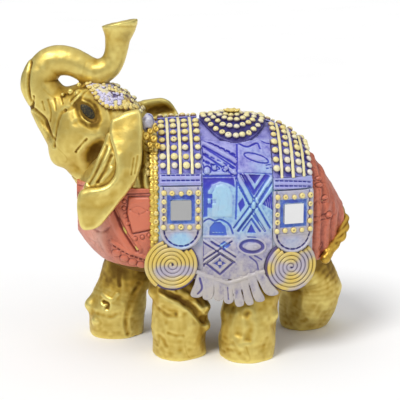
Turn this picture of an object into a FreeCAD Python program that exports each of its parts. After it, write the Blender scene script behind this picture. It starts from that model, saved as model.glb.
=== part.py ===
"""Elephant figurine in festival dress, cast in resin: trunk raised, walking pose.

The elephant faces -X, its left side is -Y and +Z is up. The origin is on the floor,
under the middle of the whole figure. Lengths are in millimetres, angles in degrees.

The body is a loft through the stations of STATIONS. Everything the elephant wears is a
skin over that loft: a profile grown outwards by the thicknesses of the layers below it.
"""
import FreeCAD, Part
import math
import os

from FreeCAD import Vector

doc = FreeCAD.newDocument("Elephant")
sheet = doc.addObject("Spreadsheet::Sheet", "Dimensions")

# ---------------------------------------------------------------- driving dimensions
SIZES = {
    # reach of the blocks and columns that cut the skins, and how far they pass beyond them
    "side_reach": 90.0,
    "clearance": 20.0,
    # layers worn over the body, each measured outwards from the layer under it
    "skin_gap": 0.05,
    "robe_thickness": 1.6,
    "saddle_thickness": 3.0,
    "panel_thickness": 1.2,
    "tab_thickness": 1.8,
    # saddle cloth
    "edge_margin": 3.0,
    "saddle_rear": 61.0,
    "hem_height": 45.0,
    "skirt_floor": 22.0,
    "centre_panel_gap": 0.2,
    "centre_panel_top": 113.0,
    "trim_bead_radius": 1.35,
    "trim_base": 66.0,
    "trim_bead_pitch": 4.4,
    # lattice panels, stitched bands and rounded tabs, front set and rear set
    "lattice_width": 20.5,
    "front_lattice_base": 98.6,
    "rear_lattice_base": 95.6,
    "row_pitch": 5.85,
    "bar_width": 1.3,
    "bar_thickness": 1.0,
    "middle_strip_width": 9.2,
    "row_start": 0.75,
    "row_end_angle": 78.0,
    "band_height": 5.4,
    "tab_width": 21.0,
    "tab_length": 32.0,
    "tab_gap": 0.6,
    "mirror_side": 10.0,
    "mirror_thickness": 1.6,
    "mirror_proud": 0.5,
    "front_mirror_turn": 2.0,
    "rear_mirror_turn": 13.0,
    "mirror_drop": 11.5,
    "bead_radius": 1.45,
    "bead_pitch": 4.3,
    "frame_bead_pitch": 4.25,
    # coiled medallions at the lower corners of the saddle cloth
    "medallion_radius": 13.7,
    "medallion_thickness": 2.2,
    "front_medallion_x": -10.3,
    "front_medallion_z": 53.0,
    "rear_medallion_x": 49.6,
    "rear_medallion_z": 50.8,
    # fringe under the centre panel
    "tongue_width": 4.6,
    "tongue_pitch": 6.6,
    "tongue_middle_drop": 16.0,
    "tongue_end_drop": 9.0,
    # rosette on the back
    "rosette_radius": 17.0,
    "rosette_reach": 25.0,
    "rosette_thickness": 1.6,
    "rosette_bead_radius": 1.5,
    "rosette_bead_gap": 0.8,
    # robe of the chest and of the rump
    "robe_top": 91.0,
    "front_robe_hem": 49.0,
    "rear_robe_top": 104.0,
    "rear_robe_hem": 50.0,
    # head, in its own plane before it is turned
    "head_turn": -10.0,
    "neck_pivot": -22.0,
    "head_x": -47.0,
    "head_z": 114.5,
    "head_length_radius": 27.5,
    "head_height_radius": 23.0,
    "head_width_radius": 21.0,
    "head_tilt": 35.0,
    "jaw_x": -68.3,
    "jaw_z": 111.5,
    "jaw_length_radius": 20.0,
    "jaw_height_radius": 6.6,
    "jaw_width_radius": 11.0,
    "jaw_tilt": 58.0,
    "eye_x": -49.8,
    "eye_z": 126.5,
    "eye_side": 17.5,
    "eye_length_radius": 4.4,
    "eye_height_radius": 2.3,
    "eye_width_radius": 2.4,
    "nostril_radius": 5.6,
    "nostril_depth": 4.5,
    "ear_thickness": 4.6,
    "ear_lean": 13.0,
    "ear_side": 26.0,
    "ear_height": 114.0,
    "ear_root_x": -24.0,
    "ear_root_side": 18.5,
    "ear_root_height": 119.0,
    "ear_root_radius": 8.5,
    "left_ear_spread": 6.0,
    "right_ear_spread": 10.0,
    "headdress_thickness": 1.6,
    "headdress_half_width": 9.0,
    "headdress_base": 126.0,
    "headdress_front": -47.0,
    "headdress_rear": -18.0,
    "headdress_bead_radius": 1.3,
    "headdress_bead_rows": 4,
    "headdress_bead_pitch": 4.2,
    # tail
    "tail_radius": 2.2,
    # necklace
    "necklace_step": 2.2,
    "necklace_bead_radius": 1.5,
    "necklace_pitch": 3.8,
}

# Body stations: x, half width, top, shoulder line, flank line, belly
STATIONS = {
    "chest": (-56.0, 11.0, 94.0, 84.0, 76.0, 64.0),
    "breast": (-46.0, 22.0, 106.0, 88.0, 70.0, 50.0),
    "shoulder": (-30.0, 30.0, 114.0, 88.0, 62.0, 42.0),
    "front_tab": (-5.7, 33.0, 117.0, 82.0, 60.0, 40.0),
    "waist": (22.5, 34.0, 118.0, 82.0, 60.0, 39.5),
    "rear_tab": (50.6, 31.0, 111.0, 80.0, 60.0, 41.0),
    "thigh": (66.0, 24.5, 97.5, 76.0, 60.0, 44.0),
    "rump": (76.0, 14.0, 82.0, 70.0, 62.0, 50.0),
    "dock": (79.0, 8.0, 74.0, 68.0, 63.0, 56.0),
}
STATION_SIZES = ("x", "half_width", "top", "shoulder_line", "flank_line", "belly")

# Legs: sections from the foot up, each x, side (distance from the middle plane), height, radius
LEGS = {
    "right_front_leg": ((-38.2, 18.0, 0.0, 14.4), (-38.8, 18.0, 10.0, 15.8), (-36.2, 17.5, 23.0, 14.2),
                        (-32.0, 17.0, 37.0, 14.0), (-27.0, 16.0, 50.0, 14.0), (-25.0, 15.0, 60.0, 13.0)),
    "left_front_leg": ((-6.4, 18.0, 0.0, 13.6), (-6.2, 18.0, 14.0, 13.9), (-5.5, 17.5, 28.0, 15.0),
                       (-6.0, 16.5, 42.0, 15.0), (-8.0, 16.0, 58.0, 14.0)),
    "left_rear_leg": ((30.8, 23.5, 0.0, 14.6), (31.0, 22.5, 14.0, 15.2), (32.5, 18.8, 27.0, 14.4),
                      (36.0, 16.5, 42.0, 14.4), (40.0, 15.0, 58.0, 14.0)),
    "right_rear_leg": ((64.0, 23.5, 0.0, 10.2), (65.5, 23.0, 6.0, 14.2), (68.0, 22.5, 17.0, 16.7),
                       (67.0, 19.0, 31.0, 14.4), (59.5, 15.0, 44.0, 13.4), (53.0, 13.0, 57.0, 13.4)),
}
LEG_SIZES = ("x", "side", "height", "radius")

# Trunk: sections from its root inside the head to its tip, each x, height, radius
TRUNK = ((-61.0, 121.0, 13.0), (-72.5, 131.5, 10.4), (-76.3, 140.5, 9.2), (-73.2, 148.2, 9.0),
         (-66.2, 151.2, 8.2), (-57.0, 149.4, 7.4), (-47.8, 145.6, 6.5), (-40.0, 148.6, 6.0),
         (-36.8, 156.0, 5.5), (-36.3, 163.2, 6.4), (-35.2, 170.2, 9.0))
TRUNK_SIZES = ("x", "height", "radius")

# Ear outlines round the edge from the crown end of the root: x and height in the head's plane.
# The left ear hangs down and forward; the right ear is swept back.
EARS = {
    "left_ear": ((-34.0, 125.5), (-26.5, 129.0), (-19.5, 126.5), (-18.6, 110.0), (-22.0, 95.5), (-33.0, 82.0),
                 (-43.0, 72.5), (-49.5, 71.5), (-51.0, 80.0), (-45.5, 92.5), (-38.5, 104.0), (-36.0, 116.0)),
    "right_ear": ((-31.0, 121.0), (-24.0, 125.5), (-14.0, 125.0), (-8.5, 118.5), (-11.5, 110.0), (-20.0, 100.0),
                  (-28.0, 87.0), (-34.0, 80.5), (-38.5, 84.0), (-37.0, 97.0), (-33.5, 110.0)),
}
EAR_SIZES = ("x", "height")

# Tail: points of its middle line, down from the dock to its tuft: x, side, height
TAIL = ((79.0, -2.0, 72.5), (81.8, -8.5, 66.0), (78.0, -16.5, 59.0), (71.5, -23.0, 53.5))
TAIL_SIZES = ("x", "side", "height")


def put(alias, value):
    """Write one number or formula into the next row of the sheet and name it."""
    put.row += 1
    sheet.set("A%d" % put.row, alias)
    sheet.set("B%d" % put.row, str(value))
    sheet.setAlias("B%d" % put.row, alias)


put.row = 0


def put_table(prefix, rows, columns):
    """Write a table of sections, one named value per cell: PREFIX_COLUMN_NUMBER."""
    for number, row in enumerate(rows):
        for column, value in zip(columns, row):
            put("%s_%s_%d" % (prefix, column, number), value)


for size_name, size_value in SIZES.items():
    put(size_name, size_value)
for station_name, station_row in STATIONS.items():
    for column_name, station_value in zip(STATION_SIZES, station_row):
        put("%s_%s" % (station_name, column_name), station_value)
for leg_name, leg_rows in LEGS.items():
    put_table(leg_name, leg_rows, LEG_SIZES)
put_table("trunk", TRUNK, TRUNK_SIZES)
for ear_name, ear_rows in EARS.items():
    put_table(ear_name, ear_rows, EAR_SIZES)
put_table("tail", TAIL, TAIL_SIZES)
# the saddle cloth starts a margin ahead of the front tab, and the necklace sits just ahead of that
put("saddle_front", "=front_tab_x - tab_width / 2 - edge_margin")
put("necklace_x", "=saddle_front - necklace_step")
doc.recompute()


def size(alias):
    """Read a driving dimension back from the sheet."""
    return float(getattr(sheet, alias))


# ---------------------------------------------------------------- small builders
def bind(obj, **expressions):
    """Tie properties of an object to expressions; sheet values are written as [alias]."""
    for name, expression in expressions.items():
        text = expression.replace("[", "Dimensions.").replace("]", "")
        obj.setExpression(name.replace("__", "."), text)
    return obj


def place(obj, x="0", y="0", z="0", axis="0; 0; 1", angle="0"):
    """Tie an object's Placement to expressions for its position and its turn about an axis."""
    text = "placement(vector(%s; %s; %s); rotation(vector(%s); %s))" % (x, y, z, axis, angle)
    return bind(obj, Placement=text)


def window(name, x_low, x_high, z_low, z_high, side):
    """A box that cuts a piece out of a skin, over the left half, the right half or both."""
    start = "0" if side == "right" else "-[side_reach]"
    width = "2 * [side_reach]" if side == "both" else "[side_reach]"
    box = doc.addObject("Part::Box", name + "_window")
    bind(box, Length="%s - (%s)" % (x_high, x_low), Width=width, Height="%s - (%s)" % (z_high, z_low))
    return place(box, x_low, start, z_low)


def group(name, members):
    """Several shapes as one compound, without joining them."""
    compound = doc.addObject("Part::Compound", name)
    compound.Links = members
    return compound


def cut(name, base, tool):
    result = doc.addObject("Part::Cut", name)
    result.Base = base
    result.Tool = tool
    return result


def common(name, base, tool):
    result = doc.addObject("Part::Common", name)
    result.Base = base
    result.Tool = tool
    return result


def ellipsoid(name, along, height, across):
    """An ellipsoid on the origin: its radii along X, along Z and along Y."""
    ball = doc.addObject("Part::Ellipsoid", name)
    return bind(ball, Radius2=along, Radius1=height, Radius3=across, Angle1="-90", Angle2="90", Angle3="360")


def circle_loft(name, circles):
    loft = doc.addObject("Part::Loft", name)
    loft.Sections = circles
    loft.Solid = True
    loft.Ruled = False
    return loft


nodes = []


def node(obj, label):
    """Mark an object as a finished sub-part and name it."""
    obj.Label = label
    nodes.append(obj)
    return obj


# ---------------------------------------------------------------- body skins
def half_ellipse(x, half_width, level, rise):
    """Half an ellipse across the body, from its left side over its crown (or keel) to its right."""
    reach = abs(rise)
    turn = 1 if rise > 0 else -1
    if reach > half_width:
        curve = Part.Ellipse(Vector(x, 0, level + rise), Vector(x, half_width * turn, level), Vector(x, 0, level))
        return Part.Arc(curve, -math.pi / 2, math.pi / 2).toShape()
    curve = Part.Ellipse(Vector(x, half_width * turn, level), Vector(x, 0, level + rise), Vector(x, 0, level))
    return Part.Arc(curve, 0, math.pi).toShape()


def body_profile(name, station, growth, first_last, skirt):
    """One cross-section of the body or of a skin over it.

    The crown is half an ellipse, the flanks are straight, and the keel is half an ellipse on the
    body. A skirt's flanks run straight down to the skirt floor instead.
    """
    x = size(station + "_x") + first_last * growth
    half_width = size(station + "_half_width") + growth
    shoulder = size(station + "_shoulder_line")
    crown = half_ellipse(x, half_width, shoulder, size(station + "_top") + growth - shoulder)
    left_top = Vector(x, -half_width, shoulder)
    right_top = Vector(x, half_width, shoulder)
    if skirt:
        low = size("skirt_floor")
        keel = Part.makeLine(Vector(x, -half_width, low), Vector(x, half_width, low))
    else:
        low = size(station + "_flank_line")
        keel = half_ellipse(x, half_width, low, size(station + "_belly") - growth - low)
    left = Part.makeLine(left_top, Vector(x, -half_width, low))
    right = Part.makeLine(right_top, Vector(x, half_width, low))
    feature = doc.addObject("Part::Feature", "%s_%s_profile" % (name, station))
    feature.Shape = Part.Wire(Part.__sortEdges__([crown, left, keel, right]))
    return feature


def skin(name, growth, skirt=False):
    """The solid inside a skin that lies a given growth outside the body."""
    profiles = []
    for station in STATIONS:
        first_last = {"chest": -1, "dock": 1}.get(station, 0)
        profiles.append(body_profile(name, station, growth, first_last, skirt))
    return circle_loft(name, profiles)


gap = size("skin_gap")
saddle_top = gap + size("saddle_thickness")
panel_top = saddle_top + size("panel_thickness")
tab_top = saddle_top + size("tab_thickness")

torso = node(skin("torso", 0.0), "torso")
robe_inside = skin("robe_inside", gap)
robe_outside = skin("robe_outside", gap + size("robe_thickness"))
saddle_inside = skin("saddle_inside", gap, skirt=True)
saddle_outside = skin("saddle_outside", saddle_top, skirt=True)
panel_outside = skin("panel_outside", panel_top, skirt=True)
tab_outside = skin("tab_outside", tab_top, skirt=True)
rosette_outside = skin("rosette_outside", saddle_top + size("rosette_thickness"), skirt=True)
doc.recompute()

robe_shell = cut("robe_shell", robe_outside, robe_inside)
saddle_shell = cut("saddle_shell", saddle_outside, saddle_inside)
panel_shell = cut("panel_shell", panel_outside, saddle_outside)
tab_shell = cut("tab_shell", tab_outside, saddle_outside)
medallion_outside = skin("medallion_outside", saddle_top + size("medallion_thickness"), skirt=True)
medallion_shell = cut("medallion_shell", medallion_outside, saddle_outside)
rosette_shell = cut("rosette_shell", rosette_outside, saddle_outside)

# ---------------------------------------------------------------- robes and saddle cloth
front_robe_window = window("front_robe", "[chest_x] - [clearance]", "[saddle_front] - [skin_gap]",
                           "[front_robe_hem]", "[robe_top]", "both")
front_robe_raw = common("front_robe_raw", robe_shell, front_robe_window)
rear_robe_window = window("rear_robe", "[saddle_rear] + [skin_gap]", "[dock_x] + [clearance]", "[rear_robe_hem]",
                          "[rear_robe_top]", "both")
rear_robe = node(common("rear_robe", robe_shell, rear_robe_window), "rear_robe")
saddle_window = window("saddle", "[saddle_front]", "[saddle_rear]", "[hem_height]", "[waist_top] + [clearance]",
                       "both")
saddle = node(common("saddle_cloth", saddle_shell, saddle_window), "saddle_cloth")

# an oval column, longer across the back than along it
rosette_outline = doc.addObject("Part::Ellipse", "rosette_outline")
bind(rosette_outline, MajorRadius="[rosette_reach]", MinorRadius="[rosette_radius]")
place(rosette_outline, "[waist_x]", "0", "[waist_shoulder_line]", "0; 0; 1", "90")
rosette_column = doc.addObject("Part::Extrusion", "rosette_column")
rosette_column.Base = rosette_outline
rosette_column.DirMode = "Custom"
rosette_column.Dir = Vector(0, 0, 1)
rosette_column.Solid = True
bind(rosette_column, LengthFwd="[side_reach]")
rosette = node(common("back_rosette", rosette_shell, rosette_column), "back_rosette")
doc.recompute()


def skin_point(solid, start, direction):
    """The point where a ray that starts inside a skin leaves it."""
    inside = Part.makeLine(start, start + direction * size("side_reach")).common(solid)
    return max((vertex.Point for vertex in inside.Vertexes), key=lambda point: (point - start).Length)


def skin_normal(solid, point):
    """The skin's outward direction at a point on it."""
    face = min(solid.Faces, key=lambda each: each.distToShape(Part.Vertex(point))[0])
    return face.normalAt(*face.Surface.parameter(point))


def half_bead(solid, start, direction, radius):
    """Half a ball seated flat on a skin, where a ray leaves it."""
    point = skin_point(solid, start, direction)
    normal = skin_normal(solid, point)
    return Part.makeSphere(radius, point + normal * size("skin_gap"), normal, 0, 90, 360)


def beads(label, seat, rays, radius):
    """A group of half beads seated on a skin, one for each ray: (start, direction)."""
    solid = seat.Shape
    feature = doc.addObject("Part::Feature", label)
    balls = [half_bead(solid, start, direction, radius) for start, direction in rays]
    feature.Shape = Part.makeCompound(balls)
    return node(feature, label)


def level_ray(x, height, side):
    """A ray across the body at a height, to its left or right flank."""
    return Vector(x, 0, height), Vector(0, -1 if side == "left" else 1, 0)


def rising_ray(x, angle, side):
    """A ray from the shoulder line up to the crown, at an angle over the level."""
    start, level = level_ray(x, size("waist_shoulder_line"), side)
    tilt = math.radians(angle)
    return start, level * math.cos(tilt) + Vector(0, 0, math.sin(tilt))


def crown_rays(x, low, pitch, side, station):
    """Rays for a row of beads up over the crown, from a height to near the middle of the back."""
    reach = size(station + "_half_width")
    step = math.degrees(pitch / reach)
    angle = math.degrees(math.atan2(low - size("waist_shoulder_line"), reach)) + size("row_start") * step
    rays = []
    while angle < size("row_end_angle"):
        rays.append(rising_ray(x, angle, side))
        angle += step
    return rays


# ---------------------------------------------------------------- saddle trim
def cross_column(name, radius, x_middle, height, side):
    """A round column across one side of the body."""
    column = bind(doc.addObject("Part::Cylinder", name), Radius=radius, Height="[side_reach]")
    return place(column, x_middle, "-[side_reach]" if side == "left" else "0", height, "1; 0; 0", "-90")


def rounded_window(name, x_middle, half_width, top, length, side):
    """A tab's outline as a block across one side: straight edges and a half-round lower end."""
    low = "%s - %s + %s" % (top, length, half_width)
    front = "%s - %s" % (x_middle, half_width)
    rear = "%s + %s" % (x_middle, half_width)
    block = window(name + "_straight", front, rear, low, top, side)
    end = cross_column(name + "_round", half_width, x_middle, low, side)
    outline = doc.addObject("Part::MultiFuse", name + "_outline")
    outline.Shapes = [block, end]
    return outline


def lattice_set(prefix, end, side):
    """A lattice panel with three bars, four bead rows, and the stitched band under it."""
    middle = "[%s_tab_x]" % end
    base = "[%s_lattice_base]" % end
    front = middle + " - [lattice_width] / 2"
    rear = middle + " + [lattice_width] / 2"
    top = "[waist_top] + [clearance]"

    lattice_window = window(prefix + "_lattice", front, rear, base, top, side)
    ground = common(prefix + "_ground", panel_shell, lattice_window)
    node(cut(prefix + "_lattice", ground, middle_strip), prefix + "_lattice_panel")

    bar_windows = []
    for number in (-1, 0, 1):
        bar = "%s + (%d) * [row_pitch]" % (middle, number)
        bar_windows.append(window("%s_bar_%d" % (prefix, number + 1), bar + " - [bar_width] / 2",
                                  bar + " + [bar_width] / 2", base, top, side))
    bars = common(prefix + "_bars_raw", bar_shell, group(prefix + "_bar_windows", bar_windows))
    node(cut(prefix + "_bars", bars, middle_strip), prefix + "_lattice_bars")

    rays = []
    for column in (-1.5, -0.5, 0.5, 1.5):
        x = size(end + "_tab_x") + column * size("row_pitch")
        rays += crown_rays(x, size(end + "_lattice_base"), size("bead_pitch"), side, end + "_tab")
    beads(prefix + "_lattice_beads", panel_outside, rays, size("bead_radius"))

    band_window = window(prefix + "_band", front, rear, base + " - [band_height]", base + " - [skin_gap]",
                         side)
    node(common(prefix + "_band", tab_shell, band_window), prefix + "_stitched_band")


def tab_set(prefix, end, side):
    """A rounded tab with a square mirror set in it, beads round the mirror, and its medallion."""
    middle = "[%s_tab_x]" % end
    top = "[%s_lattice_base] - [band_height] - [tab_gap]" % end
    outline = rounded_window(prefix + "_tab", middle, "[tab_width] / 2", top, "[tab_length]", side)
    tab_raw = common(prefix + "_tab_raw", tab_shell, outline)

    outward = "-" if side == "left" else ""
    tile = bind(doc.addObject("Part::Box", prefix + "_mirror_box"), Length="[mirror_side]",
                Width="[mirror_thickness]", Height="[mirror_side]")
    back = "-[mirror_proud]" if side == "left" else "[mirror_proud] - [mirror_thickness]"
    place(tile, "-[mirror_side] / 2", back, "-[mirror_side] / 2")
    wall = "%s([%s_tab_half_width] + [skin_gap] + [saddle_thickness] + [tab_thickness])" % (outward, end)
    turn = "%s[%s_mirror_turn]" % ("" if side == "left" else "-", end)
    mirror = group(prefix + "_mirror", [tile])
    place(mirror, middle, wall, "%s - [mirror_drop]" % top, "0; 0; 1", turn)
    node(mirror, prefix + "_mirror_tile")
    node(cut(prefix + "_tab", tab_raw, mirror), prefix + "_tab")

    centre = size(end + "_lattice_base") - size("band_height") - size("tab_gap") - size("mirror_drop")
    rays = []
    for column in range(-2, 3):
        for row in range(-2, 3):
            if max(abs(column), abs(row)) == 2:
                x = size(end + "_tab_x") + column * size("frame_bead_pitch")
                rays.append(level_ray(x, centre + row * size("frame_bead_pitch"), side))
    beads(prefix + "_tab_beads", tab_outside, rays, size("bead_radius"))

    medallion = common(prefix + "_disc_raw", medallion_shell, discs[prefix])
    node(cut(prefix + "_medallion", medallion, outline), prefix + "_medallion")


def fringe(side):
    """Flat tongues under the hem, longest at the middle of the side."""
    windows = []
    for number in range(-3, 4):
        middle = "[waist_x] + (%d) * [tongue_pitch]" % number
        drop = "([tongue_middle_drop] - %d * ([tongue_middle_drop] - [tongue_end_drop]) / 3)" % abs(number)
        windows.append(window("%s_tongue_%d" % (side, number + 3), middle + " - [tongue_width] / 2",
                              middle + " + [tongue_width] / 2", "[hem_height] - " + drop,
                              "[hem_height] - [skin_gap]", side))
    return node(common(side + "_fringe", saddle_shell, group(side + "_tongues", windows)), side + "_fringe")


middle_strip = bind(doc.addObject("Part::Box", "middle_strip"), Length="[dock_x] - [chest_x]",
                    Width="[middle_strip_width]", Height="[side_reach]")
place(middle_strip, "[chest_x]", "-[middle_strip_width] / 2", "[waist_shoulder_line]")
bar_outside = skin("bar_outside", panel_top + size("bar_thickness"), skirt=True)
bar_shell = cut("bar_shell", bar_outside, panel_outside)
doc.recompute()

discs = {}
for side_name in ("left", "right"):
    panel_front = "[front_tab_x] + [tab_width] / 2 + [centre_panel_gap]"
    panel_rear = "[rear_tab_x] - [tab_width] / 2 - [centre_panel_gap]"
    panel_window = window(side_name + "_centre_panel", panel_front, panel_rear, "[hem_height]",
                          "[centre_panel_top]", side_name)
    panel_raw = common(side_name + "_centre_panel_raw", panel_shell, panel_window)
    for end_name in ("front", "rear"):
        prefix = "%s_%s" % (side_name, end_name)
        discs[prefix] = cross_column(prefix + "_disc", "[medallion_radius]", "[%s_medallion_x]" % end_name,
                                     "[%s_medallion_z]" % end_name, side_name)
    kept_clear = group(side_name + "_kept_clear", [rosette_column, discs[side_name + "_rear"]])
    node(cut(side_name + "_centre", panel_raw, kept_clear), side_name + "_centre_panel")
    for end_name in ("front", "rear"):
        lattice_set("%s_%s" % (side_name, end_name), end_name, side_name)
        tab_set("%s_%s" % (side_name, end_name), end_name, side_name)
    fringe(side_name)

# rings of beads round a middle bead on the rosette
rosette_rays = [(Vector(size("waist_x"), 0, size("waist_shoulder_line")), Vector(0, 0, 1))]
ring_pitch = 2 * size("rosette_bead_radius") + size("rosette_bead_gap")
stretch = size("rosette_reach") / size("rosette_radius")
first_ring_count = 7
for ring in (1, 2, 3, 4):
    count = first_ring_count * ring
    for step_number in range(count):
        turn = 2 * math.pi * step_number / count
        reach = ring * ring_pitch
        foot = Vector(size("waist_x") + reach * math.cos(turn), stretch * reach * math.sin(turn),
                      size("waist_shoulder_line"))
        rosette_rays.append((foot, Vector(0, 0, 1)))
beads("rosette_beads", rosette_outside, rosette_rays, size("rosette_bead_radius"))

# gold beads down the front edge of the saddle cloth, and round the neck in front of it
trim_rays = []
necklace_rays = []
for side_name in ("left", "right"):
    trim_x = size("saddle_front") + size("trim_bead_radius") + size("skin_gap")
    flank_height = size("trim_base")
    while flank_height < size("waist_shoulder_line"):
        trim_rays.append(level_ray(trim_x, flank_height, side_name))
        flank_height += size("trim_bead_pitch")
    trim_rays += crown_rays(trim_x, flank_height, size("trim_bead_pitch"), side_name, "front_tab")
    necklace_rays += crown_rays(size("necklace_x"), size("robe_top") + size("trim_bead_pitch"),
                                size("necklace_pitch"), side_name, "shoulder")
beads("saddle_edge_beads", saddle_outside, trim_rays, size("trim_bead_radius"))
necklace = beads("neck_beads", torso, necklace_rays, size("necklace_bead_radius"))

# ---------------------------------------------------------------- head, turned on the neck
def turned(name, *members):
    """Members carried round with the head as it turns on the neck."""
    carried = group(name, list(members))
    turn = "rotation(vector(0; 0; 1); [head_turn])"
    return bind(carried, Placement="placement(vector(0; 0; 0); %s; vector([neck_pivot]; 0; 0))" % turn)


def head_ball(name, growth):
    """The skull, or a layer over it, grown outwards."""
    ball = ellipsoid(name, "[head_length_radius] + " + growth, "[head_height_radius] + " + growth,
                     "[head_width_radius] + " + growth)
    return place(ball, "[head_x]", "0", "[head_z]", "0; 1; 0", "[head_tilt]")


def eye(side):
    ball = ellipsoid(side + "_eye_ball", "[eye_length_radius]", "[eye_height_radius]", "[eye_width_radius]")
    return place(ball, "[eye_x]", "-[eye_side]" if side == "left" else "[eye_side]", "[eye_z]",
                 "0; 1; 0", "[head_tilt]")


def ear_plate(name, side):
    """A flap with the ear's outline, leaning outwards at its foot, with a rounded root at the skull."""
    corners = []
    for number in range(len(EARS[name])):
        corners.append(Vector(size("%s_x_%d" % (name, number)) - size("ear_root_x"), 0,
                              size("%s_height_%d" % (name, number)) - size("ear_height")))
    curve = Part.BSplineCurve()
    curve.interpolate(corners, PeriodicFlag=True)
    outline = doc.addObject("Part::Feature", name + "_outline")
    outline.Shape = Part.Wire([curve.toShape()])
    plate = doc.addObject("Part::Extrusion", name + "_plate")
    plate.Base = outline
    plate.DirMode = "Custom"
    plate.Dir = Vector(0, side, 0)
    plate.Solid = True
    bind(plate, LengthFwd="[ear_thickness]")
    leaning = place(group(name + "_leaning", [plate]), "0", "0", "0", "1; 0; 0", "%d * [ear_lean]" % side)
    spread = group(name + "_spread", [leaning])
    place(spread, "[ear_root_x]", "%d * [ear_side]" % side, "[ear_height]", "0; 0; 1", "[%s_spread]" % name)
    root = bind(doc.addObject("Part::Sphere", name + "_root"), Radius="[ear_root_radius]")
    place(root, "[ear_root_x]", "%d * [ear_root_side]" % side, "[ear_root_height]")
    whole = doc.addObject("Part::MultiFuse", name + "_whole")
    whole.Shapes = [spread, root]
    return whole


def trunk_loft():
    """Round sections along the trunk's line, each square to the line from its neighbours."""
    circles = []
    last = len(TRUNK) - 1
    for number in range(len(TRUNK)):
        ahead = min(number + 1, last)
        behind = max(number - 1, 0)
        circle = doc.addObject("Part::Circle", "trunk_circle_%d" % number)
        bind(circle, Radius="[trunk_radius_%d]" % number)
        angle = ("atan2([trunk_x_%d] - [trunk_x_%d]; [trunk_height_%d] - [trunk_height_%d])"
                 % (ahead, behind, ahead, behind))
        place(circle, "[trunk_x_%d]" % number, "0", "[trunk_height_%d]" % number, "0; 1; 0", angle)
        circles.append(circle)
    return circle_loft("trunk_loft", circles)


front_robe = node(front_robe_raw, "front_robe")
body_and_robe = group("body_and_robe", [torso, front_robe])
neckwear = group("neckwear", [torso, front_robe, necklace])

eyes = {side_name: eye(side_name) for side_name in ("left", "right")}
skull = turned("skull_turned", head_ball("skull", "0"))
eye_sockets = turned("eye_sockets", eyes["left"], eyes["right"])
head_with_sockets = cut("head_with_sockets", skull, eye_sockets)
head = node(cut("head", head_with_sockets, neckwear), "head")
for side_name in ("left", "right"):
    node(turned(side_name + "_eye", eyes[side_name]), side_name + "_eye")

trunk_turned = turned("trunk_turned", trunk_loft())
nostril = ellipsoid("nostril", "[nostril_radius]", "[nostril_depth]", "[nostril_radius]")
trunk_last = len(TRUNK) - 1
place(nostril, "[trunk_x_%d]" % trunk_last, "0", "[trunk_height_%d]" % trunk_last)
trunk_open = cut("trunk_open", trunk_turned, turned("nostril_turned", nostril))
trunk = node(cut("trunk", trunk_open, skull), "trunk")

jaw = ellipsoid("jaw", "[jaw_length_radius]", "[jaw_height_radius]", "[jaw_width_radius]")
place(jaw, "[jaw_x]", "0", "[jaw_z]", "0; 1; 0", "[jaw_tilt]")
skull_outside = turned("skull_outside", head_ball("skull_grown", "[skin_gap]"))
jaw_neighbours = group("jaw_neighbours", [skull_outside, trunk_turned])
jaw_clear = cut("jaw_clear", turned("jaw_turned", jaw), jaw_neighbours)
lower_jaw = node(cut("lower_jaw", jaw_clear, body_and_robe), "lower_jaw")

# ears: cut clear of the skull, of the neck with its beads, and of the saddle cloth with its beads
neck_clear = skin("neck_clear", 2 * gap + max(size("necklace_bead_radius"), size("robe_thickness")))
trim_height = max(size("panel_thickness") + size("bead_radius"), size("trim_bead_radius"))
trim_clear = skin("trim_clear", saddle_top + trim_height + gap, skirt=True)
ear_limits = group("ear_limits", [skull, neck_clear, common("saddle_clear", trim_clear, saddle_window)])
for ear_name, ear_side in (("left_ear", -1), ("right_ear", 1)):
    node(cut(ear_name, turned(ear_name + "_turned", ear_plate(ear_name, ear_side)), ear_limits), ear_name)

# headdress: a cap over the brow, with rows of beads
brow_outside = head_ball("brow_outside", "[headdress_thickness]")
brow_cap = cut("brow_cap", brow_outside, head_ball("brow_inside", "[skin_gap]"))
brow_window = bind(doc.addObject("Part::Box", "brow_window"), Length="[headdress_rear] - [headdress_front]",
                   Width="2 * [headdress_half_width]", Height="[side_reach]")
place(brow_window, "[headdress_front]", "-[headdress_half_width]", "[headdress_base]")
cap_flat = common("cap_flat", brow_cap, brow_window)
headdress = node(cut("headdress", turned("cap_turned", cap_flat), trunk_turned), "headdress")
doc.recompute()

brow = brow_outside.Shape
rows = int(size("headdress_bead_rows"))
cap_beads = []
for row in range(rows):
    for across in (-1, 0, 1):
        x = size("headdress_rear") - (row + 1.5) * size("headdress_bead_pitch")
        start = Vector(x, across * size("headdress_bead_pitch"), size("head_z"))
        cap_beads.append(half_bead(brow, start, Vector(0, 0, 1), size("headdress_bead_radius")))
bead_feature = doc.addObject("Part::Feature", "headdress_bead_balls")
bead_feature.Shape = Part.makeCompound(cap_beads)
node(turned("headdress_beads", bead_feature), "headdress_beads")

# ---------------------------------------------------------------- legs and tail
body_and_robes = group("body_and_robes", [torso, front_robe, rear_robe, saddle])
for leg_name, leg_rows in LEGS.items():
    side_sign = "-" if leg_name.startswith("left") else ""
    circles = []
    for number in range(len(leg_rows)):
        circle = bind(doc.addObject("Part::Circle", "%s_%d" % (leg_name, number)),
                      Radius="[%s_radius_%d]" % (leg_name, number))
        place(circle, "[%s_x_%d]" % (leg_name, number), "%s[%s_side_%d]" % (side_sign, leg_name, number),
              "[%s_height_%d]" % (leg_name, number))
        circles.append(circle)
    node(cut(leg_name, circle_loft(leg_name + "_loft", circles), body_and_robes), leg_name)

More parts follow.
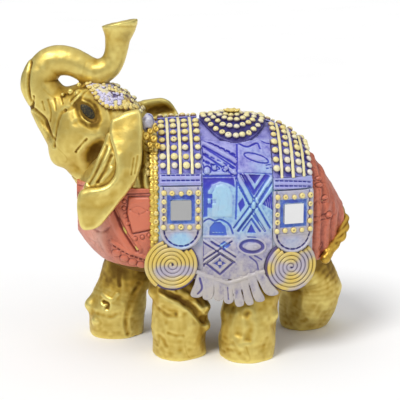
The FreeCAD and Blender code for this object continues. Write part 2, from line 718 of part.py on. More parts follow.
tail_points = []
for number in range(len(TAIL)):
    tail_points.append(Vector(*[size("tail_%s_%d" % (column, number)) for column in TAIL_SIZES]))
tail_circles = []
for number, point in enumerate(tail_points):
    ahead = tail_points[min(number + 1, len(TAIL) - 1)]
    behind = tail_points[max(number - 1, 0)]
    feature = doc.addObject("Part::Feature", "tail_circle_%d" % number)
    feature.Shape = Part.Wire([Part.makeCircle(size("tail_radius"), point, ahead - behind)])
    tail_circles.append(feature)
node(cut("tail", circle_loft("tail_loft", tail_circles), body_and_robes), "tail")

# ---------------------------------------------------------------- check and export
doc.recompute()
faults = [obj.Label for obj in doc.Objects if "Invalid" in obj.State or "Error" in obj.State]
for obj in nodes:
    if obj.Shape.isNull() or not obj.Shape.isValid() or not obj.Shape.Solids:
        faults.append(obj.Label)
if faults:
    raise RuntimeError("failed: " + ", ".join(faults))

os.makedirs("parts", exist_ok=True)
for obj in nodes:
    obj.Shape.exportStep("parts/%s.step" % obj.Label)
print(len(nodes), "sub-parts written")
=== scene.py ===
import math

import bpy
import numpy as np
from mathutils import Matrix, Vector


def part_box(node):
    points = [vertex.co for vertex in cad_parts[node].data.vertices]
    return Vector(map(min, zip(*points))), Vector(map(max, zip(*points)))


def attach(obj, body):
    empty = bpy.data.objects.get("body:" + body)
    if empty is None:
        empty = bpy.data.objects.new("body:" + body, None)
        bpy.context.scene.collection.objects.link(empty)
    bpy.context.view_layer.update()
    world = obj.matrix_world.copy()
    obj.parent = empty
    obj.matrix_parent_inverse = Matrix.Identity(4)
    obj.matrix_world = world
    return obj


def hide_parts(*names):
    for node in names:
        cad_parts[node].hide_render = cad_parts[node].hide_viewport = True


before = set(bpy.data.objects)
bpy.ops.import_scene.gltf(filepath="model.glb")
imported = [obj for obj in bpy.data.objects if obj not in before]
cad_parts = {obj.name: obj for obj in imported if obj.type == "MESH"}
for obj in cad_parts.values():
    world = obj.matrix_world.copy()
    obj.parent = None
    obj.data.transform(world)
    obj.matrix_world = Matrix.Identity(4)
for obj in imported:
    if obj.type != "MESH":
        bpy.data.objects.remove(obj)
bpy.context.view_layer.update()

import openvdb
from mathutils import Vector
from mathutils.bvhtree import BVHTree

# Everything below is worked out in millimetres and written to the meshes in metres.
MM = 0.001
SIDES = {"left": -1, "right": 1}
ENDS = ("front", "rear")


def box_mm(node):
    """Lowest and highest corner of a CAD node, in millimetres."""
    low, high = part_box(node)
    return np.array(low) / MM, np.array(high) / MM


def node_mesh(node):
    """A CAD node's points in mm and the corners of its triangles."""
    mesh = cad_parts[node].data
    mesh.calc_loop_triangles()
    points = np.zeros(len(mesh.vertices) * 3, np.float32)
    mesh.vertices.foreach_get("co", points)
    corners = np.zeros(len(mesh.loop_triangles) * 3, np.int32)
    mesh.loop_triangles.foreach_get("vertices", corners)
    return points.reshape(-1, 3).astype(float) / MM, corners.reshape(-1, 3)


# ---------------------------------------------------------------- noise and curves
HASH = np.random.default_rng(11).random(4096)


def noise(points, scale, seed=0):
    """Smooth noise from -1 to 1 at an array of points."""
    spot = points / scale + seed * 17.31
    cell = np.floor(spot).astype(np.int64)
    part = spot - cell
    part = part * part * (3 - 2 * part)
    total = np.zeros(len(points))
    for corner in range(8):
        step = np.array([corner & 1, corner >> 1 & 1, corner >> 2 & 1])
        key = cell + step
        value = HASH[(key[:, 0] * 73856093 ^ key[:, 1] * 19349663 ^ key[:, 2] * 83492791) & 4095]
        total += value * np.prod(np.where(step, part, 1 - part), axis=1)
    return total * 2 - 1


def wrinkles(points, scale, width, seed=0):
    """Thin meandering lines, 1 on a line and 0 away from it."""
    warped = points + 0.35 * scale * np.stack([noise(points, scale * 0.7, seed + k) for k in (1, 2, 3)], axis=1)
    return np.exp(-(noise(warped, scale, seed) / width) ** 2)


def spline(points, count):
    """Points along a smooth curve through a few given points."""
    given = np.asarray(points, float)
    ends = np.vstack([2 * given[0] - given[1], given, 2 * given[-1] - given[-2]])
    spots = np.linspace(0, len(given) - 1 - 1e-9, count)
    start = spots.astype(int)
    t = (spots - start)[:, None]
    a, b, c, d = (ends[start + k] for k in range(4))
    return 0.5 * (2 * b + (c - a) * t + (2 * a - 5 * b + 4 * c - d) * t ** 2 + (3 * b - a - 3 * c + d) * t ** 3)


def line_distance(points, path):
    """Distance from each 2-D point to a path of straight runs."""
    best = np.full(len(points), 1e9)
    for a, b in zip(path[:-1], path[1:]):
        a, b = np.asarray(a, float), np.asarray(b, float)
        along = np.clip((points - a) @ (b - a) / max((b - a) @ (b - a), 1e-9), 0, 1)
        best = np.minimum(best, np.linalg.norm(points - a - along[:, None] * (b - a), axis=1))
    return best


def enclosed(points, loop):
    """Which 2-D points lie inside a closed outline."""
    inside = np.zeros(len(points), bool)
    for a, b in zip(loop, np.roll(loop, -1, axis=0)):
        crossing = (a[1] > points[:, 1]) != (b[1] > points[:, 1])
        at = (b[0] - a[0]) * (points[:, 1] - a[1]) / np.where(b[1] == a[1], 1e-9, b[1] - a[1]) + a[0]
        inside ^= crossing & (points[:, 0] < at)
    return inside


def bump(distance, width):
    """A rounded profile: 1 at no distance, 0 beyond the width."""
    return np.clip(1 - (distance / width) ** 2, 0, 1) ** 2


def ramp(value, low, high):
    """A smooth step from 0 to 1."""
    t = np.clip((value - low) / (high - low), 0, 1)
    return t * t * (3 - 2 * t)


# ---------------------------------------------------------------- meshes
def face_edges(faces):
    return np.concatenate([faces[:, [k, (k + 1) % faces.shape[1]]] for k in range(faces.shape[1])])


def normals_of(verts, faces):
    """Unit vertex normals of a mesh of quads."""
    flat = np.cross(verts[faces[:, 2]] - verts[faces[:, 0]], verts[faces[:, 3]] - verts[faces[:, 1]])
    total = np.zeros_like(verts)
    for corner in range(4):
        for axis in range(3):
            total[:, axis] += np.bincount(faces[:, corner], flat[:, axis], len(verts))
    return total / np.maximum(np.linalg.norm(total, axis=1, keepdims=True), 1e-9)


def relaxed(values, edges, rounds):
    """Each vertex's value averaged with its neighbours', a number of times."""
    count = np.bincount(edges[:, 0], minlength=len(values)) + np.bincount(edges[:, 1], minlength=len(values))
    result = values.copy()
    for _ in range(rounds):
        for axis in range(values.shape[1]):
            column = result[:, axis]
            total = (np.bincount(edges[:, 0], column[edges[:, 1]], len(column))
                     + np.bincount(edges[:, 1], column[edges[:, 0]], len(column)))
            result[:, axis] = total / np.maximum(count, 1)
    return result


def wear_of(verts, faces, rounds=(3, 14)):
    """How far each vertex stands out of its surroundings, in mm: above 0 on crests, below in hollows."""
    edges = face_edges(faces)
    normals = normals_of(verts, faces)
    wear = np.zeros(len(verts))
    for turns in rounds:
        wear += np.einsum("ij,ij->i", verts - relaxed(verts, edges, turns), normals)
    return wear


def add_piece(name, verts, faces, material, slot, replaces=(), **values):
    """A finished piece: it ends at the floor, rides on the figure and stands for CAD nodes."""
    verts = np.maximum(verts, [-np.inf, -np.inf, 0])
    mesh = bpy.data.meshes.new(name)
    mesh.vertices.add(len(verts))
    mesh.vertices.foreach_set("co", (verts * MM).astype(np.float32).ravel())
    corners = faces.shape[1]
    mesh.loops.add(faces.size)
    mesh.loops.foreach_set("vertex_index", faces.astype(np.int32).ravel())
    mesh.polygons.add(len(faces))
    mesh.polygons.foreach_set("loop_start", np.arange(0, faces.size, corners, dtype=np.int32))
    mesh.update(calc_edges=True)
    mesh.validate()
    mesh.shade_smooth()
    for key, value in values.items():
        layer = mesh.attributes.new(key, "FLOAT", "POINT")
        layer.data.foreach_set("value", np.asarray(value, np.float32))
    piece = bpy.data.objects.new(name, mesh)
    bpy.context.scene.collection.objects.link(piece)
    mesh.materials.append(material)
    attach(piece, "root")
    if replaces:
        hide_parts(*replaces)
    return piece


class Clay:
    """A block of clay on a grid: a distance field in mm that shapes are joined to or carved from."""

    def __init__(self, low, high, step):
        self.step = step
        self.axes = [np.arange(low[k], high[k] + step, step) for k in range(3)]
        self.x, self.y, self.z = np.meshgrid(*self.axes, indexing="ij", sparse=True)
        self.field = np.full([len(axis) for axis in self.axes], 6.0, np.float32)

    def region(self, low, high):
        """The part of the grid inside a box, and its coordinates."""
        cuts = []
        for axis, a, b in zip(self.axes, low, high):
            first = int(np.clip(np.searchsorted(axis, a), 0, len(axis)))
            last = int(np.clip(np.searchsorted(axis, b), first, len(axis)))
            cuts.append(slice(first, last))
        x, y, z = (axis[cut] for axis, cut in zip(self.axes, cuts))
        return tuple(cuts), x[:, None, None], y[None, :, None], z[None, None, :]

    def join(self, distance, cuts, soft):
        """Smooth union with a distance given on part of the grid."""
        here = self.field[cuts]
        share = np.clip(0.5 + 0.5 * (here - distance) / soft, 0, 1)
        self.field[cuts] = here * (1 - share) + distance * share - soft * share * (1 - share)

    def carve(self, distance, cuts, soft):
        """Smooth subtraction of a shape given on part of the grid."""
        here = self.field[cuts]
        share = np.clip(0.5 - 0.5 * (here + distance) / soft, 0, 1)
        self.field[cuts] = here * (1 - share) - distance * share + soft * share * (1 - share)

    def ball(self, centre, radii, tilt=0, soft=4, carve=False):
        """An ellipsoid, tilted in the side plane."""
        reach = max(radii) + soft + 1
        cuts, x, y, z = self.region(np.array(centre) - reach, np.array(centre) + reach)
        turn = math.radians(tilt)
        dx, dy, dz = x - centre[0], y - centre[1], z - centre[2]
        along = dx * math.cos(turn) - dz * math.sin(turn)
        up = dx * math.sin(turn) + dz * math.cos(turn)
        a, b, c = along / radii[0], dy / radii[1], up / radii[2]
        size = np.sqrt(a * a + b * b + c * c) + 1e-6
        slope = np.sqrt((a / radii[0]) ** 2 + (b / radii[1]) ** 2 + (c / radii[2]) ** 2) + 1e-6
        distance = size * (size - 1) / slope
        (self.carve if carve else self.join)(distance, cuts, soft)

    def stroke(self, points, radii, soft=2, carve=False, flat=1, count=None):
        """A rounded tube through points, its radius changing along it, flattened across the side plane."""
        path = np.column_stack([np.asarray(points, float), np.asarray(radii, float)])
        path = spline(path, count or 6 * len(points))
        widest = path[:, 3].max() * max(1, 1 / flat) + soft + 1
        whole, x, y, z = self.region(path[:, :3].min(axis=0) - widest, path[:, :3].max(axis=0) + widest)
        tube = np.full((x.size, y.size, z.size), 9, np.float32)
        for a, b in zip(path[:-1], path[1:]):
            reach = max(a[3], b[3]) * max(1, 1 / flat) + soft + 1
            cuts, x, y, z = self.region(np.minimum(a, b)[:3] - reach, np.maximum(a, b)[:3] + reach)
            run = b[:3] - a[:3]
            length = max(run @ run, 1e-9)
            share = np.clip(((x - a[0]) * run[0] + (y - a[1]) * run[1] + (z - a[2]) * run[2]) / length, 0, 1)
            dx, dz = x - a[0] - share * run[0], z - a[2] - share * run[2]
            dy = (y - a[1] - share * run[1]) * flat
            distance = np.sqrt(dx * dx + dy * dy + dz * dz) - (a[3] + share * (b[3] - a[3]))
            part = tuple(slice(a.start - b.start, a.stop - b.start) for a, b in zip(cuts, whole))
            tube[part] = np.minimum(tube[part], distance)
        (self.carve if carve else self.join)(tube, whole, soft)

    def add_node(self, node, soft=0.01):
        """Press a CAD node's own solid into the clay."""
        points, corners = node_mesh(node)
        points = points - [axis[0] for axis in self.axes]
        level = openvdb.FloatGrid.createLevelSetFromPolygons(
            points, corners.astype(np.uint32), transform=openvdb.createLinearTransform(voxelSize=self.step),
            halfWidth=4.0)
        dense = np.full(self.field.shape, 6.0, np.float32)
        level.copyToArray(dense)
        self.join(dense, ..., soft)

    def mesh(self):
        """The surface of the clay as quads that face outwards."""
        grid = openvdb.FloatGrid(6.0)
        grid.copyFromArray(np.ascontiguousarray(np.clip(self.field, -6, 6), dtype=np.float32))
        grid.transform = openvdb.createLinearTransform(voxelSize=self.step)
        points, _, quads = grid.convertToPolygons(0.0, 0.0)
        verts = points.astype(float) + np.array([axis[0] for axis in self.axes])
        faces = quads.astype(np.int64)
        flat = np.cross(verts[faces[:, 2]] - verts[faces[:, 0]], verts[faces[:, 3]] - verts[faces[:, 1]])
        volume = np.einsum("ij,ij->i", flat, verts[faces].mean(axis=1) - verts.mean(axis=0)).sum()
        return verts, faces if volume > 0 else faces[:, ::-1]


class Skin:
    """The outside of a CAD node, found by rays from outside the figure."""

    def __init__(self, node):
        points, corners = node_mesh(node)
        self.tree = BVHTree.FromPolygons(points.tolist(), corners.tolist())

    def cast(self, start, direction, reach=90):
        """The outermost crossing of a ray from start, or None."""
        direction = Vector(direction).normalized()
        hit = self.tree.ray_cast(Vector(start) + direction * reach, -direction, reach)
        return np.array(hit[0]) if hit[0] is not None else None


def clay_over(node, step, pad=1.6):
    """Clay with the solid of a CAD node pressed into it."""
    low, high = box_mm(node)
    clay = Clay(low - pad, high + pad, step)
    clay.add_node(node)
    return clay


def side_mask(normals, side=0):
    """1 where a surface faces sideways (to one side, or to both for 0), 0 where it faces along or up."""
    facing = normals[:, 1] * side if side else np.abs(normals[:, 1])
    return ramp(facing, 0.08, 0.35)


def creased(verts, normals, creases, side=0):
    """The height that lines drawn on the side view add: each has a path, a width and a height in mm."""
    flat = verts[:, [0, 2]]
    total = np.zeros(len(verts))
    for path, width, height in creases:
        path = spline(path, 5 * len(path)) if len(path) > 2 else np.asarray(path, float)
        width = 1.45 * width
        near = ((flat > path.min(axis=0) - width) & (flat < path.max(axis=0) + width)).all(axis=1)
        along = 0.75 + 0.35 * noise(verts[near], 3.5, 27)
        total[near] += 0.72 * height * along * bump(line_distance(flat[near], path), width)
    return total * side_mask(normals, side)


def gold_piece(name, clay, replaces, creases=(), side=0, rough=0.30, fine=0.10, cracks=0, turn=None,
               material=None, shade=None):
    """A gold piece of the casting: hand-smoothed clay with its creases, painted by wear and darkened by a
    painted shade where one is given.
    """
    verts, faces = clay.mesh()
    normals = normals_of(verts, faces)
    shift = creased(verts, normals, creases, side)
    shift += rough * noise(verts, 7.5, 3) + fine * noise(verts, 2.4, 5)
    if cracks:
        shift -= cracks * wrinkles(verts, 13, 0.05, 8) * ramp(noise(verts, 11, 2), -0.1, 0.35)
    verts = verts + normals * shift[:, None]
    wear = wear_of(verts, faces)
    # painted shade: the given shade lowers the wear value, so the paint goes darker there
    if shade is not None:
        wear = wear - shade(verts)
    if turn is not None:
        verts = turn(verts)
    return add_piece(name, verts, faces, material or GOLD, "gold_resin", replaces, wear=wear)


# The cloth is drawn in two lengths: x along the body, and s up the flank from the shoulder line and on
# over the crown.
SHOULDER_LINE = 82.0
WALL = 38.2
CROWN = 40.2
CROWN_LENGTH = 36.0


def cloth_place(verts):
    """Each vertex's place on the cloth: x and s."""
    rise = verts[:, 2] - SHOULDER_LINE
    over = CROWN_LENGTH * np.arctan2(rise / CROWN, np.abs(verts[:, 1]) / WALL)
    return np.stack([verts[:, 0], np.where(rise < 0, rise, over)], axis=1)


def outward_mask(verts, normals):
    """1 on the faces that look away from the body's middle line, 0 on backs and edges."""
    rise = np.clip(verts[:, 2] - SHOULDER_LINE, 0, None)
    middle = np.stack([np.zeros(len(verts)), verts[:, 1], rise], axis=1)
    middle /= np.maximum(np.linalg.norm(middle, axis=1, keepdims=True), 1e-6)
    return ramp(np.einsum("ij,ij->i", middle, normals), 0.35, 0.75)


class Relief:
    """Heights in mm drawn on a surface that is laid out flat."""

    def __init__(self, spots):
        self.spots = spots
        self.height = np.zeros(len(spots))
        self.tone = np.zeros(len(spots))

    def near(self, path, width):
        path = np.asarray(path, float)
        mask = ((self.spots > path.min(axis=0) - width) & (self.spots < path.max(axis=0) + width)).all(axis=1)
        return np.flatnonzero(mask)

    def line(self, path, width, height, smooth=False):
        if smooth:
            path = spline(path, 6 * len(path))
        where = self.near(path, width)
        self.height[where] += height * bump(line_distance(self.spots[where], path), width)

    def dashes(self, path, width, height, pitch, share=0.55, smooth=False):
        """Short marks in a row along a path."""
        path = np.asarray(spline(path, 8 * len(path)) if smooth else path, float)
        runs = np.linalg.norm(np.diff(path, axis=0), axis=1)
        starts = np.concatenate([[0], np.cumsum(runs)])
        count = max(int(starts[-1] / pitch), 1)
        for number in range(count):
            ends = (np.array([number + 0.5 - share / 2, number + 0.5 + share / 2])) * starts[-1] / count
            mark = [[np.interp(end, starts, path[:, axis]) for axis in range(2)] for end in ends]
            self.line(mark, width, height)

    def fill(self, corners, height, soft=0.35, tone=0):
        """A flat patch with soft edges inside a closed outline."""
        loop = np.asarray(corners + [corners[0]], float)
        where = self.near(loop, soft)
        spots = self.spots[where]
        distance = line_distance(spots, loop) * np.where(enclosed(spots, loop), 1, -1)
        share = ramp(distance, -soft, soft)
        self.height[where] += height * share
        self.tone[where] += tone * share

    def ring(self, centre, radii, width, height, tilt=0):
        """An oval line."""
        turn = math.radians(tilt)
        angles = np.linspace(0, 2 * math.pi, 33)
        across, up = radii[0] * np.cos(angles), radii[1] * np.sin(angles)
        path = np.stack([centre[0] + across * math.cos(turn) - up * math.sin(turn),
                         centre[1] + across * math.sin(turn) + up * math.cos(turn)], axis=1)
        self.line(path, width, height)

    def dome(self, centre, radii, height):
        share = (((self.spots - centre) / radii) ** 2).sum(axis=1)
        self.height += height * np.sqrt(np.clip(1 - share, 0, 1))

    def boss(self, centre, radius, height, gap, width, depth):
        """A round stud with a groove round it."""
        self.dome(centre, (radius, radius), height)
        self.ring(centre, (radius + gap, radius + gap), width, depth)


def cloth_piece(name, clay, draw, tone, material, slot, replaces, base=0.16, gain=0.85, rough=0.10, limit=None):
    """A cloth or patch of the casting: relief drawn on its outside, coloured by height and by place."""
    verts, faces = clay.mesh()
    normals = normals_of(verts, faces)
    relief = Relief(cloth_place(verts))
    draw(relief, verts)
    mask = outward_mask(verts, normals) if limit is None else limit(verts, normals)
    shift = relief.height * mask + rough * noise(verts, 2.6, 4) + 0.15 * noise(verts, 8, 6)
    verts = verts + normals * shift[:, None]
    value = base + gain * relief.height * mask + 0.7 * wear_of(verts, faces, (3,))
    return add_piece(name, verts, faces, material, slot, replaces, relief=value,
                     tone=np.clip(tone(relief.spots, verts) + relief.tone * mask, 0, 1))


def tube(path, radius, sides=8, flat=1, outward=None):
    """Rings of points along a path, as verts and quads; flat squeezes it along outward."""
    path = np.asarray(path, float)
    radius = np.broadcast_to(radius, len(path))
    along = np.gradient(path, axis=0)
    along /= np.maximum(np.linalg.norm(along, axis=1, keepdims=True), 1e-9)
    up = np.broadcast_to(np.asarray(outward if outward is not None else (0, 0, 1), float), path.shape)
    across = np.cross(along, up)
    across /= np.maximum(np.linalg.norm(across, axis=1, keepdims=True), 1e-9)
    up = np.cross(across, along)
    angles = np.arange(sides) * 2 * math.pi / sides
    rings = (path[:, None] + radius[:, None, None] * (np.cos(angles)[None, :, None] * across[:, None]
                                                      + flat * np.sin(angles)[None, :, None] * up[:, None]))
    verts = rings.reshape(-1, 3)
    index = np.arange(len(path) * sides).reshape(len(path), sides)
    after = np.roll(index, -1, axis=1)
    faces = np.stack([index[:-1], index[1:], after[1:], after[:-1]], axis=-1).reshape(-1, 4)
    caps = []
    for ring, flip in ((index[0], True), (index[-1], False)):
        for k in range(1, sides - 2, 2):
            quad = [ring[0], ring[k], ring[k + 1], ring[k + 2]]
            caps.append(quad[::-1] if flip else quad)
    return verts, np.concatenate([faces, np.array(caps)]), np.tile(np.sin(angles), len(path))


def joined(pieces):
    """Several sets of verts, faces and vertex values as one."""
    verts, faces, values, start = [], [], [], 0
    for piece in pieces:
        verts.append(piece[0])
        faces.append(piece[1] + start)
        values.append(np.stack(piece[2:], axis=1))
        start += len(piece[0])
    return np.concatenate(verts), np.concatenate(faces), np.concatenate(values)


def ball_template(cuts=7):
    """A ball of quads: a cube's faces cut up and pushed out, poles along Z."""
    verts, faces, seen = [], [], {}
    ticks = np.tan(np.linspace(-math.pi / 4, math.pi / 4, cuts))
    for axis in range(3):
        for sign in (-1, 1):
            grid = {}
            for i, a in enumerate(ticks):
                for j, b in enumerate(ticks):
                    point = np.roll(np.array([sign, a, b]), axis)
                    point = point / np.linalg.norm(point)
                    key = tuple(np.round(point, 5) + 0)
                    if key not in seen:
                        seen[key] = len(verts)
                        verts.append(point)
                    grid[i, j] = seen[key]
            for i in range(cuts - 1):
                for j in range(cuts - 1):
                    quad = [grid[i, j], grid[i + 1, j], grid[i + 1, j + 1], grid[i, j + 1]]
                    faces.append(quad if sign > 0 else quad[::-1])
    return np.array(verts), np.array(faces)


BALL, BALL_FACES = ball_template()


def bead_seats(node):
    """The middle and radius of every half ball of a CAD bead node, found from its separate islands."""
    points, corners = node_mesh(node)
    keys, index = np.unique(np.round(points, 3), axis=0, return_inverse=True)
    edges = face_edges(index.reshape(-1)[corners])
    label = np.arange(len(keys))
    for _ in range(60):
        low = np.minimum(label[edges[:, 0]], label[edges[:, 1]])
        np.minimum.at(label, edges[:, 0], low)
        np.minimum.at(label, edges[:, 1], low)
    seats = []
    for island in np.unique(label):
        spots = keys[label == island]
        system = np.column_stack([2 * spots, np.ones(len(spots))])
        answer = np.linalg.lstsq(system, (spots ** 2).sum(axis=1), rcond=None)[0]
        middle = answer[:3]
        radius = math.sqrt(max(answer[3] + middle @ middle, 1e-6))
        out = spots.mean(axis=0) - middle
        seats.append((middle, out / np.linalg.norm(out), radius))
    return seats


def bead(middle, out, radius, rng, dimple=0, squash=0.95):
    """One moulded bead: a slightly uneven ball, some with a hollow in its crown."""
    turn = np.array(Vector((0, 0, 1)).rotation_difference(Vector(out)).to_matrix())
    uneven = 1 + 0.07 * noise(BALL + rng.random(3) * 40, 1.1, 9)
    local = BALL * (radius * uneven)[:, None] * [1, 1, squash]
    if dimple:
        off = np.hypot(local[:, 0], local[:, 1]) / radius
        crown = BALL[:, 2] > 0
        local[:, 2] -= np.where(crown, dimple * radius * 0.75 * bump(off, 0.5), 0)
    height = BALL[:, 2] * 0.75 - 0.1
    if dimple:
        height = height - np.where(crown, 1.5 * dimple * bump(off, 0.42), 0)
    return middle + local @ turn.T, BALL_FACES, height


def beads_of(name, pieces, material, slot="gold_bead", replaces=()):
    """One piece from several sets of verts, faces, relief and tone."""
    verts, faces, values = joined(pieces)
    return add_piece(name, verts, faces, material, slot, replaces, relief=values[:, 0],
                     tone=np.clip(values[:, 1], 0, 1))


def bead_piece(name, node, tone, seed, size=1, jitter=0.12, dimpled=0.3):
    """All the beads of a CAD node, each a little different."""
    rng = np.random.default_rng(seed)
    made = []
    for middle, out, radius in bead_seats(node):
        radius = radius * size * rng.uniform(0.90, 1.10)
        middle = middle + rng.normal(0, jitter, 3) + out * 0.15
        hollow = rng.uniform(0.5, 1) if rng.random() < dimpled else 0.0
        verts, faces, height = bead(middle, out, radius, rng, hollow, rng.uniform(0.85, 1))
        shade = np.full(len(verts), tone(middle) + rng.normal(0, 0.10))
        made.append((verts, faces, height, shade))
    return beads_of(name, made, BEAD, replaces=(node,))


def roughened(clay, depth, scale, seed, base=0):
    """The clay's surface pushed out by noise, and that noise."""
    verts, faces = clay.mesh()
    rough = noise(verts, scale, seed)
    return verts + normals_of(verts, faces) * (base + depth * rough)[:, None], faces, rough


# ---------------------------------------------------------------- materials
def linear(red, green, blue):
    """A screen colour, 0 to 255, as the linear colour a shader wants."""
    channels = []
    for value in (red, green, blue):
        value /= 255
        channels.append(value / 12.92 if value <= 0.04045 else ((value + 0.055) / 1.055) ** 2.4)
    return (*channels, 1)


class Paint:
    """A node material that is put together step by step."""

    def __init__(self, name, metallic, roughness, specular=0.5, coat=0):
        self.material = bpy.data.materials.new(name)
        self.material.use_nodes = True
        self.tree = self.material.node_tree
        self.shader = self.tree.nodes["Principled BSDF"]
        self.shader.inputs["Metallic"].default_value = metallic
        self.shader.inputs["Roughness"].default_value = roughness
        self.shader.inputs["Specular IOR Level"].default_value = specular
        self.shader.inputs["Coat Weight"].default_value = coat
        self.shader.inputs["Coat Roughness"].default_value = 0.25
        self.place = self.node("ShaderNodeTexCoord").outputs["Object"]

    def node(self, kind, **settings):
        made = self.tree.nodes.new(kind)
        for key, value in settings.items():
            setattr(made, key, value)
        return made

    def link(self, source, target):
        self.tree.links.new(source, target)

    def value(self, name):
        """A vertex value of the mesh."""
        return self.node("ShaderNodeAttribute", attribute_name=name).outputs["Fac"]

    def grain(self, size, detail=4, rough=0.6):
        """Noise with features of a size in mm."""
        texture = self.node("ShaderNodeTexNoise")
        texture.inputs["Scale"].default_value = 1 / (size * MM)
        texture.inputs["Detail"].default_value = detail
        texture.inputs["Roughness"].default_value = rough
        self.link(self.place, texture.inputs["Vector"])
        return texture.outputs["Fac"]

    def math(self, operation, a, b, clamp=False):
        made = self.node("ShaderNodeMath", operation=operation, use_clamp=clamp)
        for socket, value in zip(made.inputs, (a, b)):
            if isinstance(value, (int, float)):
                socket.default_value = value
            else:
                self.link(value, socket)
        return made.outputs[0]

    def span(self, value, low, high, to_low=0, to_high=1):
        made = self.node("ShaderNodeMapRange", interpolation_type="SMOOTHSTEP")
        self.link(value, made.inputs["Value"])
        for key, number in (("From Min", low), ("From Max", high), ("To Min", to_low), ("To Max", to_high)):
            made.inputs[key].default_value = number
        return made.outputs["Result"]

    def colours(self, value, *stops):
        """A colour ramp: pairs of position and colour."""
        made = self.node("ShaderNodeValToRGB")
        elements = made.color_ramp.elements
        while len(elements) < len(stops):
            elements.new(0.5)
        for element, (position, colour) in zip(elements, stops):
            element.position = position
            element.color = linear(*colour)
        self.link(value, made.inputs["Fac"])
        return made.outputs["Color"]

    def mix(self, share, a, b):
        made = self.node("ShaderNodeMix", data_type="RGBA")
        for number, source in ((0, share), (6, a), (7, b)):
            self.link(source, made.inputs[number])
        return made.outputs[2]

    def stirred(self, value, grain, amount, clamp=False):
        """A value moved up and down by noise."""
        swing = self.math("MULTIPLY", self.math("SUBTRACT", grain, 0.5), amount)
        return self.math("ADD", value, swing, clamp)

    def finish(self, colour, roughness=None, bumps=()):
        self.link(colour, self.shader.inputs["Base Color"])
        if roughness is not None:
            self.link(roughness, self.shader.inputs["Roughness"])
        normal = None
        for height, depth in bumps:
            made = self.node("ShaderNodeBump")
            made.inputs["Strength"].default_value = 1.0
            made.inputs["Distance"].default_value = depth * MM
            self.link(height, made.inputs["Height"])
            if normal is not None:
                self.link(normal, made.inputs["Normal"])
            normal = made.outputs["Normal"]
        if normal is not None:
            self.link(normal, self.shader.inputs["Normal"])
        return self.material


def gold_paint(name, deep, middle, high):
    """Satin gold paint with a brown wash left in the hollows and rubbed bright on the crests; painted shade
    that a piece adds to its wear value darkens it further.
    """
    paint = Paint(name, metallic=0.80, roughness=0.48)
    wear = paint.value("wear")
    blotch = paint.grain(14, 5)
    fine = paint.grain(1.1, 3)
    level = paint.math("ADD", paint.span(wear, -0.40, 0.34), paint.math("MULTIPLY", blotch, 0.42))
    level = paint.math("ADD", level, paint.math("MULTIPLY", fine, 0.08))
    level = paint.math("MULTIPLY", level, 0.68)
    colour = paint.colours(level, (0.10, deep), (0.42, middle), (0.86, high))
    rough = paint.span(level, 0.2, 0.8, 0.60, 0.40)
    return paint.finish(colour, rough, [(fine, 0.05), (paint.grain(4), 0.12)])


def washed_paint(name, low_stops, high_stops, roughness, contrast=(-0.25, 0.35)):
    """Coloured paint: one colour run in the hollows, another on the relief, both along the tone value."""
    paint = Paint(name, metallic=0, roughness=roughness, coat=0.15)
    fine = paint.grain(1.3, 4)
    blotch = paint.grain(6, 4)
    level = paint.stirred(paint.stirred(paint.value("relief"), fine, 0.5), blotch, 0.5)
    shift = paint.stirred(paint.value("tone"), blotch, 0.25, clamp=True)
    colour = paint.mix(paint.span(level, *contrast), paint.colours(shift, *low_stops),
                       paint.colours(shift, *high_stops))
    rough = paint.span(level, -0.4, 0.6, roughness + 0.12, roughness - 0.06)
    return paint.finish(colour, rough, [(fine, 0.06)])


def mirror_glass(name, silver):
    paint = Paint(name, metallic=1, roughness=0.04)
    haze = paint.grain(30)
    low, high = (silver - 4,) * 3, (silver + 4,) * 3
    return paint.finish(paint.colours(haze, (0.3, low), (0.7, high)), paint.span(haze, 0.3, 0.7, 0.03, 0.06))


def eye_gloss():
    paint = Paint("eye_gloss", metallic=0, roughness=0.6, coat=0)
    speck = paint.grain(0.9)
    return paint.finish(paint.colours(speck, (0.38, (20, 17, 8)), (0.55, (54, 47, 20)), (0.72, (112, 97, 44))))


GOLD = gold_paint("antique_gold", (94, 60, 10), (192, 160, 68), (236, 218, 132))
DARK_GOLD = gold_paint("trim_gold", (92, 58, 8), (190, 148, 44), (236, 208, 108))
TAIL_GOLD = gold_paint("tail_gold", (70, 44, 8), (138, 100, 26), (208, 170, 70))
BEAD = washed_paint("bead_cream", [(0, (86, 70, 130)), (0.5, (92, 78, 120)), (1, (150, 104, 24))],
                    [(0, (206, 202, 236)), (0.5, (232, 222, 166)), (1, (226, 200, 104))], 0.34, (-0.1, 0.35))
# Cord of the coils: its low colours fall on the cord's flanks as painted shade, its high colours on the crests.
CORD = washed_paint("coil_gold", [(0, (98, 72, 46)), (1, (108, 98, 160))],
                    [(0, (214, 186, 90)), (0.5, (206, 186, 122)), (1, (176, 168, 182))], 0.42, (-0.1, 0.45))
BLUE = washed_paint("blanket_blue",
                    [(0, (38, 28, 92)), (0.28, (48, 46, 174)), (0.55, (64, 100, 196)), (0.8, (80, 78, 156)),
                     (1, (92, 82, 132))],
                    [(0, (104, 98, 180)), (0.28, (160, 160, 214)), (0.55, (158, 198, 222)),
                     (0.8, (182, 180, 196)), (1, (182, 174, 168))], 0.42)
CORAL = washed_paint("robe_coral", [(0, (112, 42, 30)), (1, (150, 70, 56))],
                     [(0, (196, 98, 66)), (0.6, (208, 120, 92)), (1, (228, 176, 156))], 0.46)
# Painted reflection: the front tiles have a dimmer silver and the rear tiles a brighter one, standing in for
# what each tile reflects.
MIRROR = {"front": mirror_glass("dim_painted_reflection_mirror", 172), "rear": mirror_glass("bright_painted_reflection_mirror", 226)}
EYE_PAINT = eye_gloss()


# ---------------------------------------------------------------- head, jaw and trunk
HEAD_TURN = math.radians(-10)
NECK = -22.0


